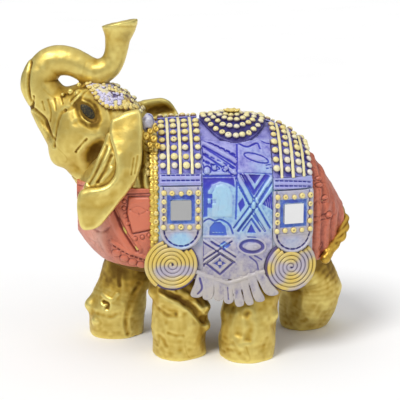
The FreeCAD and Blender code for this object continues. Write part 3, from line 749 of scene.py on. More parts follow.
def turned(verts):
    """From the head's own plane to where it looks: a turn about the neck."""
    x, y = verts[:, 0] - NECK, verts[:, 1]
    return np.stack([NECK + x * math.cos(HEAD_TURN) - y * math.sin(HEAD_TURN),
                     x * math.sin(HEAD_TURN) + y * math.cos(HEAD_TURN), verts[:, 2]], axis=1)


SKULL, SKULL_TILT = (-47, 0, 114.5), 35
TRUNK_LINE = [(-62, 120), (-72, 129), (-77.2, 139), (-72.6, 147.6), (-66.2, 150), (-58.6, 148.8),
              (-48.4, 144.4), (-41.2, 146.8), (-37.4, 153), (-36, 162.4), (-35, 170)]
TRUNK_RADII = [12.5, 10.4, 9.2, 8.3, 7.7, 7.3, 6.9, 6.2, 5.8, 6.6, 9]

clay = Clay((-90, -27, 82), (-14, 27, 177), 0.45)
clay.ball(SKULL, (27, 20.5, 22.5), SKULL_TILT, soft=3)
clay.ball((-51, 0, 99), (10, 14, 13), 20, soft=6)
for side in SIDES.values():
    clay.ball((-59.5, side * 9.5, 110), (9.5, 8.5, 15), 32, soft=5)
    clay.ball((-50.5, side * 12.5, 131.5), (7, 5.5, 3.6), 42, soft=4)
clay.stroke([(x, 0, z) for x, z in TRUNK_LINE], TRUNK_RADII, soft=3.5, count=80)
# the trunk's underside shows as a raised band along its outer edge
clay.stroke([(-81.5, 0, 148.8), (-84, 0, 141.5), (-84, 0, 135), (-81.6, 0, 128.4)], [1.2, 2.2, 2.4, 1.8],
            soft=1.2, flat=0.35)
# lower jaw: a broad lip that runs from the mouth's corner down to the throat
clay.stroke([(-79.2, 0, 123.6), (-75.8, 0, 119), (-72, 0, 113.6), (-66, 0, 105.2), (-58.8, 0, 97),
             (-54.5, 0, 91.5)], [2.6, 3.6, 4.3, 5, 5.4, 5.4], soft=1.8, flat=0.42, count=40)
clay.ball((-46, 0, 91), (12, 15, 9), 15, soft=5)
for side in SIDES.values():
    clay.ball((-44.8, side * 18.6, 104), (4.2, 3.2, 8), 28, soft=5, carve=True)
# the flared tip with its hollow
clay.stroke([(-34.5, 0, 166), (-30.5, 0, 169.5), (-27.2, 0, 171.4)], [5, 3, 0.9], soft=2.5, flat=0.8)
clay.stroke([(-37, 0, 166), (-42.2, 0, 168.6)], [4.5, 1.8], soft=2, flat=0.7, count=8)
cuts, x, y, z = clay.region((-60, -20, 160), (-20, 20, 178))
clay.carve(168.3 + 0.2 * (x + 43) - z, cuts, 0.8)
clay.ball((-35.5, 0, 175.5), (7.6, 6.6, 8.5), -8, soft=0.8, carve=True)
for centre, size in (((-58.9, 135.5), 1.5), ((-63, 134), 1), ((-54.5, 139), 1.3)):
    clay.ball((centre[0], -9.5, centre[1]), (size, 1.6, size), soft=0.8)


def surface_of(clay, x, z, side):
    """How far out the clay's surface lies at a place on the side view."""
    i = int(np.clip(np.searchsorted(clay.axes[0], x), 0, len(clay.axes[0]) - 1))
    k = int(np.clip(np.searchsorted(clay.axes[2], z), 0, len(clay.axes[2]) - 1))
    inside = np.flatnonzero(clay.field[i, :, k] < 0)
    return float(clay.axes[1][inside[-1] if side > 0 else inside[0]]) if len(inside) else 0.0


EYE, EYE_TILT = (-48.6, 126.4), 49
for side in SIDES.values():
    for line, radii in (([(-54.2, 130.8), (-50.6, 131.8), (-46.4, 129.4), (-44, 122.8)],
                         [0.2, 0.4, 0.4, 0.2]),
                        ([(-53.6, 129.5), (-51.6, 124.6), (-48.4, 121.8), (-44.4, 121.4)],
                         [0.2, 0.5, 0.5, 0.2]),
                        ([(-57, 130.6), (-53.2, 134), (-48.6, 136.6)], [0.4, 1, 0.5])):
        path = [(px, surface_of(clay, px, pz, side) - side * 0.1, pz) for px, pz in line]
        clay.stroke(path, radii, soft=1.6, count=18)
EYE_OUT = {side: surface_of(clay, EYE[0], EYE[1], side) for side in SIDES.values()}
for side in SIDES.values():
    clay.ball((EYE[0], EYE_OUT[side] + side * 0.6, EYE[1]), (5.6, 1.5, 2.7), EYE_TILT, soft=2.2, carve=True)


def eye_ring_and_hollow_shade(verts):
    """A darker ring round each eye, and painted shade in the hollow behind the cheek."""
    x, z = verts[:, 0] - EYE[0], verts[:, 2] - EYE[1]
    along, across = x * 0.656 - z * 0.755, x * 0.755 + z * 0.656
    ring = np.sqrt((along / 8.6) ** 2 + (across / 4.9) ** 2)
    beside = (np.abs(verts[:, 1]) > 9) * (1 + 0.5 * noise(verts, 1.6, 71))
    # painted shade in the hollow between the cheek and the ear
    hollow = np.hypot((verts[:, 0] + 45) / 6, (verts[:, 2] - 103) / 8)
    return beside * (1.1 * bump(ring, 1.35) + 0.7 * bump(hollow, 1.2))


HEAD_CREASES = [
    ([(-80.4, 149.5), (-81.3, 141), (-81, 134), (-79.6, 128.2)], 1.1, -1.6),
    ([(-83.5, 124.8), (-80.6, 126.4), (-79, 129.2), (-78.4, 132.4)], 0.9, -1.2),
    ([(-80, 126.4), (-75.8, 123.9), (-72.6, 121), (-70.4, 116), (-67.4, 112), (-66.6, 108.4)], 1.1, -1.3),
    ([(-79, 123.4), (-74, 120), (-70.4, 113)], 3, -0.4),
    ([(-66.4, 112), (-65.2, 118.3), (-63.4, 124.6), (-61, 126.8)], 1, -1.2),
    ([(-61, 126.8), (-56.8, 128.4), (-52.6, 133.4), (-50.4, 136.6)], 1, -0.9),
    ([(-58, 131.6), (-55, 134.4), (-52, 138)], 0.9, -0.7),
    ([(-70.6, 131), (-69, 125), (-69.4, 120.4)], 0.7, -0.5),
    ([(-67.2, 131.6), (-66.2, 126.4)], 0.6, -0.5),
    ([(-73.6, 130), (-72.6, 126)], 0.6, -0.5),
    ([(-64, 133), (-62.6, 129.6)], 0.6, -0.4),
    ([(-55, 106), (-48.9, 113.2)], 0.7, -0.9),
    ([(-54, 106.6), (-50, 111.4)], 0.6, 0.5),
    ([(-54, 120.6), (-50.8, 118.6), (-45, 118)], 2.2, -0.6),
    ([(-55, 129.6), (-53.4, 124), (-49.6, 120.6), (-43.8, 119.6)], 1.6, -0.5),
    ([(-54.4, 131.6), (-49.6, 133.2), (-45, 129), (-42.6, 122.4)], 1.4, -0.5),
    ([(-48, 91.2), (-43.6, 99), (-38.8, 109.8)], 0.9, -1),
    ([(-45.4, 92), (-41.8, 99), (-38.2, 105.8)], 0.9, 0.9),
    ([(-50.6, 91.6), (-47, 97.4)], 0.9, 0.7),
    ([(-61, 91.6), (-55, 89.6), (-49, 88.8)], 0.9, -1.1),
    ([(-60, 89), (-52, 87.4)], 0.8, -0.8),
    ([(-54, 86.8), (-44.5, 87.3), (-37.2, 94.8)], 1.1, -1),
    ([(-40.6, 136), (-36, 121), (-38.4, 112)], 1.2, -0.6),
]
gold_piece("head_and_trunk", clay, ("head", "trunk", "lower_jaw"), HEAD_CREASES, rough=0.26, fine=0.10,
           cracks=0.05, turn=turned, shade=eye_ring_and_hollow_shade)

for name, side in SIDES.items():
    tilt = math.radians(EYE_TILT)
    local = BALL * [5.8, 1.9, 3]
    local = np.stack([local[:, 0] * math.cos(tilt) + local[:, 2] * math.sin(tilt), local[:, 1],
                      -local[:, 0] * math.sin(tilt) + local[:, 2] * math.cos(tilt)], axis=1)
    local += BALL * (0.18 * noise(local, 0.9, 2))[:, None]
    verts = turned(local + [EYE[0], EYE_OUT[side] - side * 1.75, EYE[1]])
    add_piece(name + "_eye_ball", verts, BALL_FACES, EYE_PAINT, "eye_paint", (name + "_eye",))


# ---------------------------------------------------------------- ears
def plate(clay, corners, middle, half, edge, soft=0.5):
    """A flap with a smooth outline on the side view; its middle surface and half thickness may vary."""
    loop = spline(np.asarray(corners + corners[:3], float), 8 * (len(corners) + 3))
    loop = loop[8:8 + 8 * len(corners) + 1]
    x, z = np.meshgrid(clay.axes[0], clay.axes[2], indexing="ij")
    spots = np.stack([x.ravel(), z.ravel()], axis=1)
    outline = line_distance(spots, np.vstack([loop, loop[:1]])) * np.where(enclosed(spots, loop), -1, 1)
    outline = outline.reshape(x.shape)[:, None, :]
    thick = (half(x, z) if callable(half) else np.full(x.shape, half))[:, None, :]
    across = np.abs(clay.y - middle(x, z)[:, None, :]) - thick + edge
    out = outline + edge
    outer = np.hypot(np.clip(out, 0, None), np.clip(across, 0, None))
    clay.join(outer + np.minimum(np.maximum(out, across), 0) - edge, ..., soft)


LEFT_EAR = [(-39.6, 124.4), (-34.5, 127.6), (-28.5, 129.6), (-25, 128.6), (-24.2, 119), (-24.6, 105.5),
            (-27.2, 96.2), (-34, 87), (-43.5, 75.4), (-48.5, 71.4), (-54.2, 70.8), (-56.4, 75.5),
            (-57, 84), (-55.4, 89.6), (-50.6, 91.6), (-45, 92.4), (-41, 94.4), (-38, 98.6),
            (-37.2, 104), (-38.2, 110), (-40.4, 117)]
# the folds of skin between the cheek and the flap, seen in the notch of its front edge
EAR_FOLDS = [(-41, 118), (-35, 117), (-33, 105), (-34, 94), (-42, 88), (-51, 87),
             (-53.6, 91), (-50, 98), (-46.4, 106), (-43.2, 113)]


def left_ear_middle(x, z):
    """The flap leans out at its foot, bows outward in the middle and rolls back at its rear edge."""
    bow = 2.6 * bump(np.abs((z - 104) - (x + 34)), 26)
    return -27.2 - 0.17 * (126 - z) + 0.008 * (x + 34) ** 2 - bow + 1.2 * ramp(z, 96, 84)


def left_ear_half(x, z):
    ridge = line_distance(np.stack([x.ravel(), z.ravel()], axis=1),
                          spline([(-31, 122), (-32.5, 108), (-37, 96), (-46, 87), (-54, 84)], 20))
    return 1.7 + 1.0 * bump(ridge.reshape(x.shape), 11)


clay = Clay((-61, -43, 67), (-17, -8, 133), 0.4)
plate(clay, EAR_FOLDS, lambda x, z: left_ear_middle(x, z) + 3.4, 1.6, 1.4)
plate(clay, LEFT_EAR, left_ear_middle, left_ear_half, 1.6)
clay.stroke([(-31, -18, 120), (-31, -27, 118)], [6, 3.5], soft=4)
clay.stroke([(-31, -17, 109), (-31, -28, 107)], [5.5, 3], soft=4)
LEFT_EAR_CREASES = [
    ([(-55.6, 87.4), (-49, 89.6), (-42, 92), (-36.4, 98), (-36, 108)], 2.4, 0.4),
    ([(-51, 93.6), (-46.2, 102), (-42.2, 111.6)], 1, -0.9),
    ([(-49, 93.6), (-44.4, 101.6), (-40.6, 110.6)], 1.1, 0.9),
    ([(-46.6, 94.6), (-42.6, 101), (-39.6, 107.4)], 0.9, -0.9),
    ([(-44.8, 95.2), (-41.6, 98.6), (-39.4, 101.6)], 0.9, 0.7),
    ([(-53, 84), (-45, 83.4), (-38, 89), (-33.4, 98)], 3.6, -0.6),
    ([(-27, 122), (-26.6, 110), (-28.6, 98), (-36.4, 86.6), (-46, 75.6)], 2.6, 0.4),
    ([(-26.8, 108), (-28.2, 99.6)], 0.6, -0.35),
    ([(-28.6, 107), (-29.8, 99)], 0.6, -0.35),
    ([(-40, 121), (-38.4, 112), (-41, 103)], 2.4, 0.35),
]
gold_piece("left_ear_flap", clay, ("left_ear",), LEFT_EAR_CREASES, side=-1, rough=0.30, fine=0.08, cracks=0.05)

RIGHT_EAR = [(-31, 121), (-24.5, 126), (-19.5, 127), (-12.5, 127.4), (-7.2, 123.8), (-3.8, 116.5),
             (-6.5, 108), (-14, 99), (-22, 87.5), (-28.5, 81.6), (-33, 84), (-34, 97),
             (-33, 110)]


def right_ear_middle(x, z):
    """Swept back and outwards, with a hollow between its rim and its root."""
    hollow = 3.0 * np.exp(-(((x + 13.5) / 7) ** 2 + ((z - 120.5) / 3.2) ** 2))
    return 21.5 + 0.16 * (126 - z) + 0.30 * (x + 24) + hollow


clay = Clay((-38, 6, 77), (0, 42, 131), 0.45)
plate(clay, RIGHT_EAR, right_ear_middle, lambda x, z: 2.0 + 0.012 * np.clip(z - 96, 0, 30), 1.7)
clay.stroke([(-29, 16, 119), (-26, 22, 117)], [8, 4.5], soft=4)
clay.stroke([(-27.5, 17, 108), (-28, 23, 106)], [6.5, 3.5], soft=4)
RIGHT_EAR_CREASES = [
    ([(-19.5, 119.6), (-15.7, 121.6), (-10.6, 121.8), (-7.2, 119.4)], 2.6, -1.5),
    ([(-21, 114), (-17, 115.6), (-11.8, 118.2), (-5.6, 118.2)], 2, 1.3),
    ([(-22, 124.8), (-13, 126.2), (-6.6, 122.4)], 1.6, 0.6),
]
gold_piece("right_ear_flap", clay, ("right_ear",), RIGHT_EAR_CREASES, side=-1, rough=0.25, fine=0.08)

# ---------------------------------------------------------------- body and legs
clay = clay_over("torso", 0.62)
BODY_CREASES = [
    ([(-25.5, 113.5), (-24.6, 106), (-25.4, 98), (-24.4, 91)], 1.3, -0.8),
    ([(-22.6, 112), (-22, 104), (-23, 96), (-22, 91)], 1.2, 0.9),
    ([(-20.4, 112.6), (-20.2, 104), (-20.8, 93)], 1.1, -0.9),
    ([(-28.5, 110), (-28, 100), (-29, 92)], 1.3, 0.7),
    ([(-26, 100), (-21, 103)], 0.9, -0.5),
    ([(-31, 104), (-31, 92)], 1.2, -0.7),
]
# painted shade: the body is darkened towards its underside, from 60 mm down and fully below 46 mm
gold_piece("body", clay, ("torso",), BODY_CREASES, rough=0.5, fine=0.12, cracks=0.08,
           shade=lambda verts: 0.5 * ramp(-verts[:, 2], -60, -46))


def painted_shade_under_cloth(verts):
    """Painted shade under the cloth: the legs darken, unevenly, from 22 mm up to full at 46 mm."""
    return 0.45 * ramp(verts[:, 2], 22, 46) * (1 + 0.6 * noise(verts, 7, 72))


LEG_LINES = {
    "right_front_leg": [((-38.2, 18, 0), 14.6), ((-38.6, 18, 8), 15.4), ((-37.4, 17.5, 17), 15),
                        ((-34.8, 17.5, 27), 13.6), ((-31.5, 17, 38), 13.4), ((-27, 16, 50), 13.6)],
    "left_front_leg": [((-6.4, -18, 0), 13.8), ((-6, -18, 12), 14.3), ((-5.7, -17.5, 24), 14.2),
                       ((-6.2, -17, 34), 14.6), ((-7.5, -16, 50), 14.4)],
    "left_rear_leg": [((29.2, -23, 0), 14.2), ((29.4, -22.5, 12), 14.6), ((31.2, -19.5, 26), 14.4),
                      ((34.5, -17, 40), 14.4), ((40, -15, 56), 14)],
    "right_rear_leg": [((64, 23.5, 0), 10.5), ((65.5, 23, 7), 14), ((68, 22.5, 17), 16.2),
                       ((67.5, 19.5, 29), 14.6), ((60, 15.5, 43), 13.4), ((54, 13, 56), 13.2)],
}
LEG_CREASES = {
    "right_front_leg": [
        ([(-36.5, 39), (-37.1, 34), (-36.8, 30)], 0.7, -0.9),
        ([(-45.4, 20.4), (-43.4, 19.6), (-43.8, 17.6)], 1.3, -1.8),
        ([(-51.2, 9), (-49.4, 10.8), (-47.6, 9), (-49.4, 7), (-51.2, 9)], 0.7, -0.7),
        ([(-32.6, 3), (-33.4, 11), (-30.6, 20), (-26.6, 30)], 1.6, -0.9),
        ([(-46, 24), (-41, 22), (-38, 25)], 1.2, 0.5),
        ([(-48, 14), (-42, 13), (-37, 15)], 1.4, -0.4)],
    "left_front_leg": [
        ([(-14.6, 36.6), (-10, 34.6), (-5.4, 32.2), (1.4, 26.6), (7, 19)], 1.9, -2.6),
        ([(-6.4, 37.6), (-2, 34.6), (2, 30.6), (5, 26.6)], 1.4, 1),
        ([(-16.4, 26.6), (-12.4, 24.4), (-8.4, 24.6)], 0.8, -1),
        ([(-14, 28.4), (-8, 26)], 0.8, -0.8),
        ([(-18.4, 7), (-17.2, 11.6), (-15.4, 11.6), (-13.4, 7.6)], 0.7, -0.8),
        ([(-12.2, 14.8), (-8, 13.8), (-4.6, 13.6)], 1, -0.35),
        ([(-1, 10), (2, 18), (1, 24)], 0.9, -0.4)],
    "left_rear_leg": [
        ([(17.2, 6.4), (18.6, 9.4), (20.6, 9.8), (23.8, 5.6)], 0.7, -0.9),
        ([(15.4, 3.8), (20.6, 6.6), (26.2, 2.8)], 0.7, -0.8),
        ([(28.4, 25.4), (29.4, 19.4), (28.2, 13)], 2.3, -1.1),
        ([(20.6, 28), (18.4, 20), (17.8, 12)], 1.8, -0.9),
        ([(36, 6), (38, 12)], 0.7, -0.5)],
    "right_rear_leg": [
        ([(54.6, 3.6), (58.4, 12), (58.6, 22.6)], 2.6, -1.3),
        ([(57.4, 3.4), (61.4, 5.4), (64.6, 7.4)], 0.8, -0.9),
        ([(69, 9.6), (70.8, 12.4), (72.4, 15.6)], 0.8, -0.6)],
}
LEG_KNOBS = {
    "right_front_leg": [((-52.6, 15, 16.4), 2.6), ((-22.6, 13, 28.6), 2.6), ((-49.5, 7.6, 9), 1.6)],
    "left_front_leg": [((-19, -22, 33.4), 2.6), ((6.4, -24, 27), 2.8), ((8, -22, 15.5), 2.4)],
    "left_rear_leg": [((41.6, -27, 22), 2.6)],
    "right_rear_leg": [((80, 20, 22.5), 4)],
}
for leg, rows in LEG_LINES.items():
    middle = np.array([row[0] for row in rows])
    radii = np.array([row[1] for row in rows])
    low = (middle - radii[:, None]).min(axis=0) - 3
    high = (middle + radii[:, None]).max(axis=0) + 3
    low[2], high[2] = -1.5, 57.0
    clay = Clay(low, high, 0.45)
    clay.stroke(middle, radii, soft=2, count=26)
    for centre, radius in LEG_KNOBS[leg]:
        clay.ball(centre, (radius * 1.2, radius * 1.2, radius), soft=4)
    clay.carve(clay.z + 0.4, ..., 1.2)
    creases = [(line, 1.9 * width, 0.55 * depth) if width < 1.0 else (line, width, depth)
               for line, width, depth in LEG_CREASES[leg]]
    gold_piece(leg + "_cast", clay, (leg,), creases, side=-1, rough=0.9, fine=0.14, cracks=0.06,
               shade=painted_shade_under_cloth)

clay = Clay((60, -30, 47), (88, 4, 78), 0.35)
TAIL = spline([(78.5, -2, 72.5), (81.2, -8.5, 66.5), (77.5, -16.5, 60), (70.5, -22.5, 54.5)], 40)
for strand in range(3):
    angles = np.linspace(0, 9, len(TAIL)) + strand * 2 * math.pi / 3
    offset = 1.15 * np.stack([np.cos(angles), 0.7 * np.sin(angles), np.sin(angles)], axis=1)
    clay.stroke(TAIL + offset, np.linspace(1.9, 1.3, len(TAIL)), soft=0.4, count=len(TAIL))
clay.stroke([TAIL[-6], TAIL[-1] + [-1.5, -1, -3.4]], [1.8, 2.8], soft=1.5, count=8)
gold_piece("tail_rope", clay, ("tail",), rough=0.2, material=TAIL_GOLD)


# ---------------------------------------------------------------- robes
def robe_tone(spots, verts):
    return 0.35 + 0.35 * ramp(-spots[:, 0], 34, 48) + 0.2 * noise(verts, 9, 4)


def draw_front_robe(relief, verts):
    """A rectangular patch with a leaf, a crossing fold, seams with studs and a scalloped foot."""
    patch = [(-31.5, 5), (-20.2, 5.2), (-19.2, -11.4), (-29.8, -14), (-32.4, -4)]
    relief.fill(patch, 0.75, 0.4)
    relief.line(patch + [patch[0]], 0.9, -0.9)
    relief.line([(-30.8, -1.8), (-26.8, 0.2), (-22, -1.8)], 0.55, -0.5, True)
    relief.line([(-30.8, -1.8), (-26.2, -3.8), (-22, -1.8)], 0.55, -0.5, True)
    relief.line([(-29.6, 1.6), (-24, 2.6)], 0.5, 0.35)
    relief.line([(-33, 9.8), (-19.4, 10.4)], 1.2, 0.6)
    relief.line([(-33, 6.4), (-19.4, 6.8)], 0.7, -0.6)
    relief.line([(-38.6, -2.6), (-34, -12.8), (-27.8, -22.6)], 1.5, -1.7, True)
    relief.line([(-41, -4), (-36.6, -14), (-30.6, -24)], 2.2, 0.8, True)
    relief.line([(-35.4, -2), (-31.8, -12), (-26, -22)], 1.3, 0.7, True)
    for x, s in ((-33.6, 2.6), (-33.8, -1.2), (-33.2, -5), (-31.8, -9), (-28.4, -16.6), (-24.8, -15.6),
                 (-21.4, -14.6)):
        relief.boss((x, s), 0.95, 0.8, 0.2, 0.35, -0.45)
    relief.line([(-40, -19), (-32, -23.4), (-20, -27.4)], 1.4, 0.8, True)
    relief.dashes([(-40, -21.4), (-32, -25.6), (-20, -29.4)], 0.7, -1, 2.3, 0.35, True)
    for x, s in ((-38, -25.6), (-34, -28.2), (-29.8, -29.8), (-25.6, -31.2)):
        relief.dome((x, s), (2.3, 2.2), 0.8)
        relief.ring((x, s), (2.3, 2.1), 0.5, -0.4)
    chest = ramp(-relief.spots[:, 0], 38, 44)
    relief.height += chest * (0.7 * noise(verts * [1, 1, 0.45], 4.2, 12) - 0.5 * wrinkles(verts, 9, 0.09, 3))
    relief.height -= 0.5 * (1 - chest) * wrinkles(verts, 8, 0.07, 5) * ramp(noise(verts, 7, 9), 0, 0.4)


def draw_rear_robe(relief, verts):
    """Rope-like folds that run down the rump, with a few beads between them."""
    x, s = relief.spots[:, 0], relief.spots[:, 1]
    warp = x + 1.2 * noise(verts * [1, 1, 0.5], 9, 2)
    folds = np.cos(warp * 2 * math.pi / 5.4)
    swell = 0.75 + 0.5 * noise(verts, 6, 14)
    relief.height += 0.75 * swell * np.sign(folds) * np.abs(folds) ** 0.8
    relief.height -= 0.30 * swell * np.clip(folds, 0, 1) * (0.5 + 0.5 * np.cos(s * 2 * math.pi / 2.6 + warp))
    relief.height -= 0.5 * wrinkles(verts * [1, 1, 0.6], 6, 0.08, 5)
    for spot in ((65.1, 11), (68.3, 1.5), (65.4, 16.4), (70.4, -8)):
        relief.boss(spot, 1.5, 1.5, 0.3, 0.5, -0.6)
    for low in (-8, -10.5, 14):
        relief.line([(60, low), (72, low + 0.8)], 0.5, -0.5)


cloth_piece("robe_on_the_chest", clay_over("front_robe", 0.42), draw_front_robe, robe_tone, CORAL, "coral_robe",
            ("front_robe",), base=0.22, gain=0.5, rough=0.14)
cloth_piece("robe_on_the_rump", clay_over("rear_robe", 0.45), draw_rear_robe, robe_tone, CORAL, "coral_robe",
            ("rear_robe",), base=0.20, gain=0.32, rough=0.14)


# ---------------------------------------------------------------- blanket
def blanket_tone(spots, verts):
    """Ultramarine and lavender over the back, sky blue on the flank, greyish lilac at the foot."""
    s = spots[:, 1]
    tone = np.interp(s, [-45, -30, -21, -13, -4, 8, 14, 22, 40, 60],
                     [1, 0.96, 0.88, 0.66, 0.56, 0.54, 0.36, 0.30, 0.22, 0.05])
    return tone + 0.06 * noise(verts, 10, 8)


def draw_blanket(relief, verts):
    relief.height += 0.3 * noise(verts, 3.2, 7) - 0.3 * ramp(relief.spots[:, 1], 20, 30)


cloth_piece("blanket", clay_over("saddle_cloth", 0.52), draw_blanket,
            lambda spots, verts: blanket_tone(spots, verts) - 0.06, BLUE, "blue_blanket", ("saddle_cloth",),
            base=0.46)

PANEL_FRONT = 4.0


def draw_panel(relief, verts):
    """The patchwork of the centre panel: pieces of printed cloth sewn edge to edge."""
    line, dashes, fill, ring = relief.line, relief.dashes, relief.fill, relief.ring
    # seams between the patches
    line([(22.9, 31), (22.2, 15.6), (21.4, -5.5)], 0.8, -0.55)
    line([(3, 15.7), (21.8, 15.6)], 0.9, 0.5)
    line([(3, 14.6), (21.8, 14.4)], 0.8, -0.7)
    line([(4, -14.6), (21, -14.8)], 0.8, 0.5)
    line([(23, 15.5), (40, 15.3)], 0.6, -0.4)
    # front upper patch: slanting bands with dashes between, bosses and dots at the foot
    for low, high in (((6.3, 31.4), (22, 21.2)), ((5.4, 27.6), (20.8, 16.2))):
        line([low, high], 1, 0.7)
        line([(low[0] - 0.4, low[1] - 1.7), (high[0] - 0.4, high[1] - 1.7)], 0.7, -0.9)
        line([(low[0] + 0.4, low[1] + 1.7), (high[0] + 0.4, high[1] + 1.7)], 0.6, -0.7)
    dashes([(9, 31.6), (22, 24)], 0.8, -1, 2.8, 0.5)
    dashes([(6, 25.8), (21, 17.4)], 0.8, -0.9, 3.2, 0.45)
    dashes([(4, 23), (14, 17.6)], 0.9, -0.9, 2.6, 0.5)
    for spot, radius in (((3.8, 18.8), 1.7), ((7.4, 17.2), 1.6), ((3.2, 23.2), 1.3), ((11.2, 18.4), 1.2),
                         ((16.6, 17.6), 1.1), ((4, 27.6), 1.1)):
        relief.boss(spot, radius, 1, 0.4, 0.5, -0.7)
    # rear upper patch: a leaf and loose curved lines on plain cloth
    ring((32.3, 23), (6.3, 1.9), 0.55, -0.7, -15)
    relief.dome((32.3, 23), (5.4, 1.4), 0.35)
    line([(24, 30.2), (28, 28.6), (33, 31), (34.4, 28.2)], 0.7, -0.8, True)
    line([(34, 33.4), (38, 31.6), (42, 32.2)], 0.55, -0.6, True)
    line([(33.4, 35), (38, 36.6), (42, 34.4)], 0.45, -0.5, True)
    dashes([(36.6, 19.4), (40.6, 20.4)], 0.5, -0.5, 1.3, 0.5)
    dashes([(36.6, 17.8), (40.6, 18.6)], 0.5, -0.5, 1.5, 0.5)
    # hanging triangle with nested edges over a cross of banded lines
    fill([(23.6, 15), (38, 14.8), (30.4, 5.2)], -0.75, 0.35, -0.18)
    fill([(26, 15.4), (36.2, 15.2), (30.8, 8)], 0.75, 0.3, 0.16)
    fill([(28, 15), (34, 14.9), (31.1, 10.8)], -0.8, 0.3, -0.18)
    for ends in (((22.8, 14), (37.4, -11.6)), ((39.4, 13.4), (21.6, -11.2))):
        a, b = np.array(ends, float)
        off = np.array([-(b - a)[1], (b - a)[0]]) / np.linalg.norm(b - a)
        for shift, width, height in ((0, 0.9, 0.6), (1.5, 0.6, -0.8), (-1.5, 0.6, -0.8), (2.6, 0.6, 0.35)):
            line([a + off * shift, b + off * shift], width, height)
    dashes([(22, 11), (29, -0.4)], 0.5, -0.7, 1.6, 0.5)
    # hatched wedge beside the cross
    fill([(34.8, 1.4), (41, 8.6), (41, -2.4)], -0.7, 0.3, -0.2)
    for step in range(5):
        line([(36.4 + step, 2.4 + step), (37.0 + step, -0.2 - 0.4 * step)], 0.45, 0.6)
    dashes([(32.6, 3), (37.2, 9.4)], 0.9, -0.45, 1.3, 0.45)
    # pointed arches of line under the cross, with a small triangle
    for drop in (0, 2.4):
        line([(22.4 + drop, -11.6), (29.2, -2.6 - drop * 1.3), (36.2 - drop, -12.4)], 0.75, -0.7)
    fill([(27.2, -12.9), (31.4, -13), (29.2, -8.6)], -0.7, 0.3, -0.3)
    fill([(22.6, 1.8), (24.8, 4.4), (26, 1.2), (23.6, -2)], -0.55, 0.35, -0.22)
    # arched patch with a pale inner arch and a half-round below
    fill([(4.6, 13.6), (20.4, 13.4), (21, 9.4), (17.6, 11), (13.8, 12), (9.6, 10.6), (7.6, 7.4),
          (7.2, -4.4), (4.4, -4.6)], -0.55, 0.5, -0.14)
    fill([(9.8, -4.4), (9.8, 6.2), (12, 9.8), (15.2, 10.6), (18.2, 8.6), (19.6, 4.6), (19.4, -4.4)], 0.5, 0.5,
         0.04)
    for spot in ((8.6, 5.3), (8.4, 1), (10.4, 3)):
        fill([(spot[0] - 1.3, spot[1] - 1), (spot[0] + 1.3, spot[1] - 1), (spot[0] + 1.3, spot[1] + 1),
              (spot[0] - 1.3, spot[1] + 1)], -0.5, 0.3, -0.1)
    line([(12, 7), (13.6, 3), (12.8, -1.4)], 0.6, -0.35, True)
    line([(16.6, 7.6), (17.4, 3), (16.4, -1)], 0.5, 0.3, True)
    line([(4.6, -7.6), (8, -5.6), (11, -6.6), (14, -6), (18.2, -8.6), (20, -13)], 0.7, -0.7, True)
    fill([(8.4, -14), (8.6, -9.8), (10.8, -7.2), (13.8, -7.2), (16.2, -9.8), (17, -14)], -0.6, 0.35, -0.12)
    dashes([(9.6, -12.6), (15.6, -12.6)], 0.4, 0.4, 1.4, 0.5)
    # woven corner: crossing bands round a diamond with four small triangles
    fill([(12.6, -19.4), (15.8, -17), (19.2, -18.8), (16, -21.6)], -0.6, 0.3, -0.30)
    for low, high in (((4, -26.4), (19.6, -15.8)), ((4.2, -29), (13.4, -22.6)), ((4.6, -15.8), (21, -26.8)),
                      ((9.4, -16), (21.4, -24))):
        line([low, high], 0.75, 0.5)
        line([(low[0], low[1] - 1.3), (high[0], high[1] - 1.3)], 0.6, -0.8)
    line([(6.6, -28.4), (13.6, -23.2), (20.4, -28), (13.7, -34.2), (6.6, -28.4)], 0.7, -0.8)
    line([(8.8, -28.4), (13.6, -24.8), (18.4, -28), (13.7, -32.4), (8.8, -28.4)], 0.6, 0.5)
    for dx, dz in ((0, 1.6), (0, -1.6), (1.8, 0), (-1.8, 0)):
        fill([(13.6 + along * dx + aside * dz, -28.5 + along * dz + aside * dx)
              for along, aside in ((1.6, 0), (0.6, 0.6), (0.6, -0.6))], -0.8, 0.25, -0.25)
    # swirl and plain cloth at the rear foot
    ring((29.6, -20), (5.6, 3), 1.2, -0.75, -6)
    ring((29.6, -20), (7, 4.2), 0.55, 0.5, -6)
    relief.dome((29.8, -20.2), (3.6, 1.9), 0.7)
    ring((31.4, -20.4), (1.3, 1), 0.4, -0.4)
    line([(27.6, -15.2), (31.4, -15.6)], 0.6, -0.5)
    line([(28.6, -25.4), (32, -28.4), (33, -32)], 0.6, -0.45, True)
    line([(31, -24.8), (34.6, -27)], 0.6, -0.45)
    # bound edges
    line([(PANEL_FRONT, 30), (PANEL_FRONT - 1.2, 12), (PANEL_FRONT - 1, -10), (PANEL_FRONT, -31)], 1, 0.45)
    line([(PANEL_FRONT + 1.6, 28), (PANEL_FRONT + 0.4, 12), (PANEL_FRONT + 0.6, -10), (PANEL_FRONT + 1.6, -30)],
         0.6, -0.5)
    relief.height += 0.10 * noise(verts, 1.5, 15)


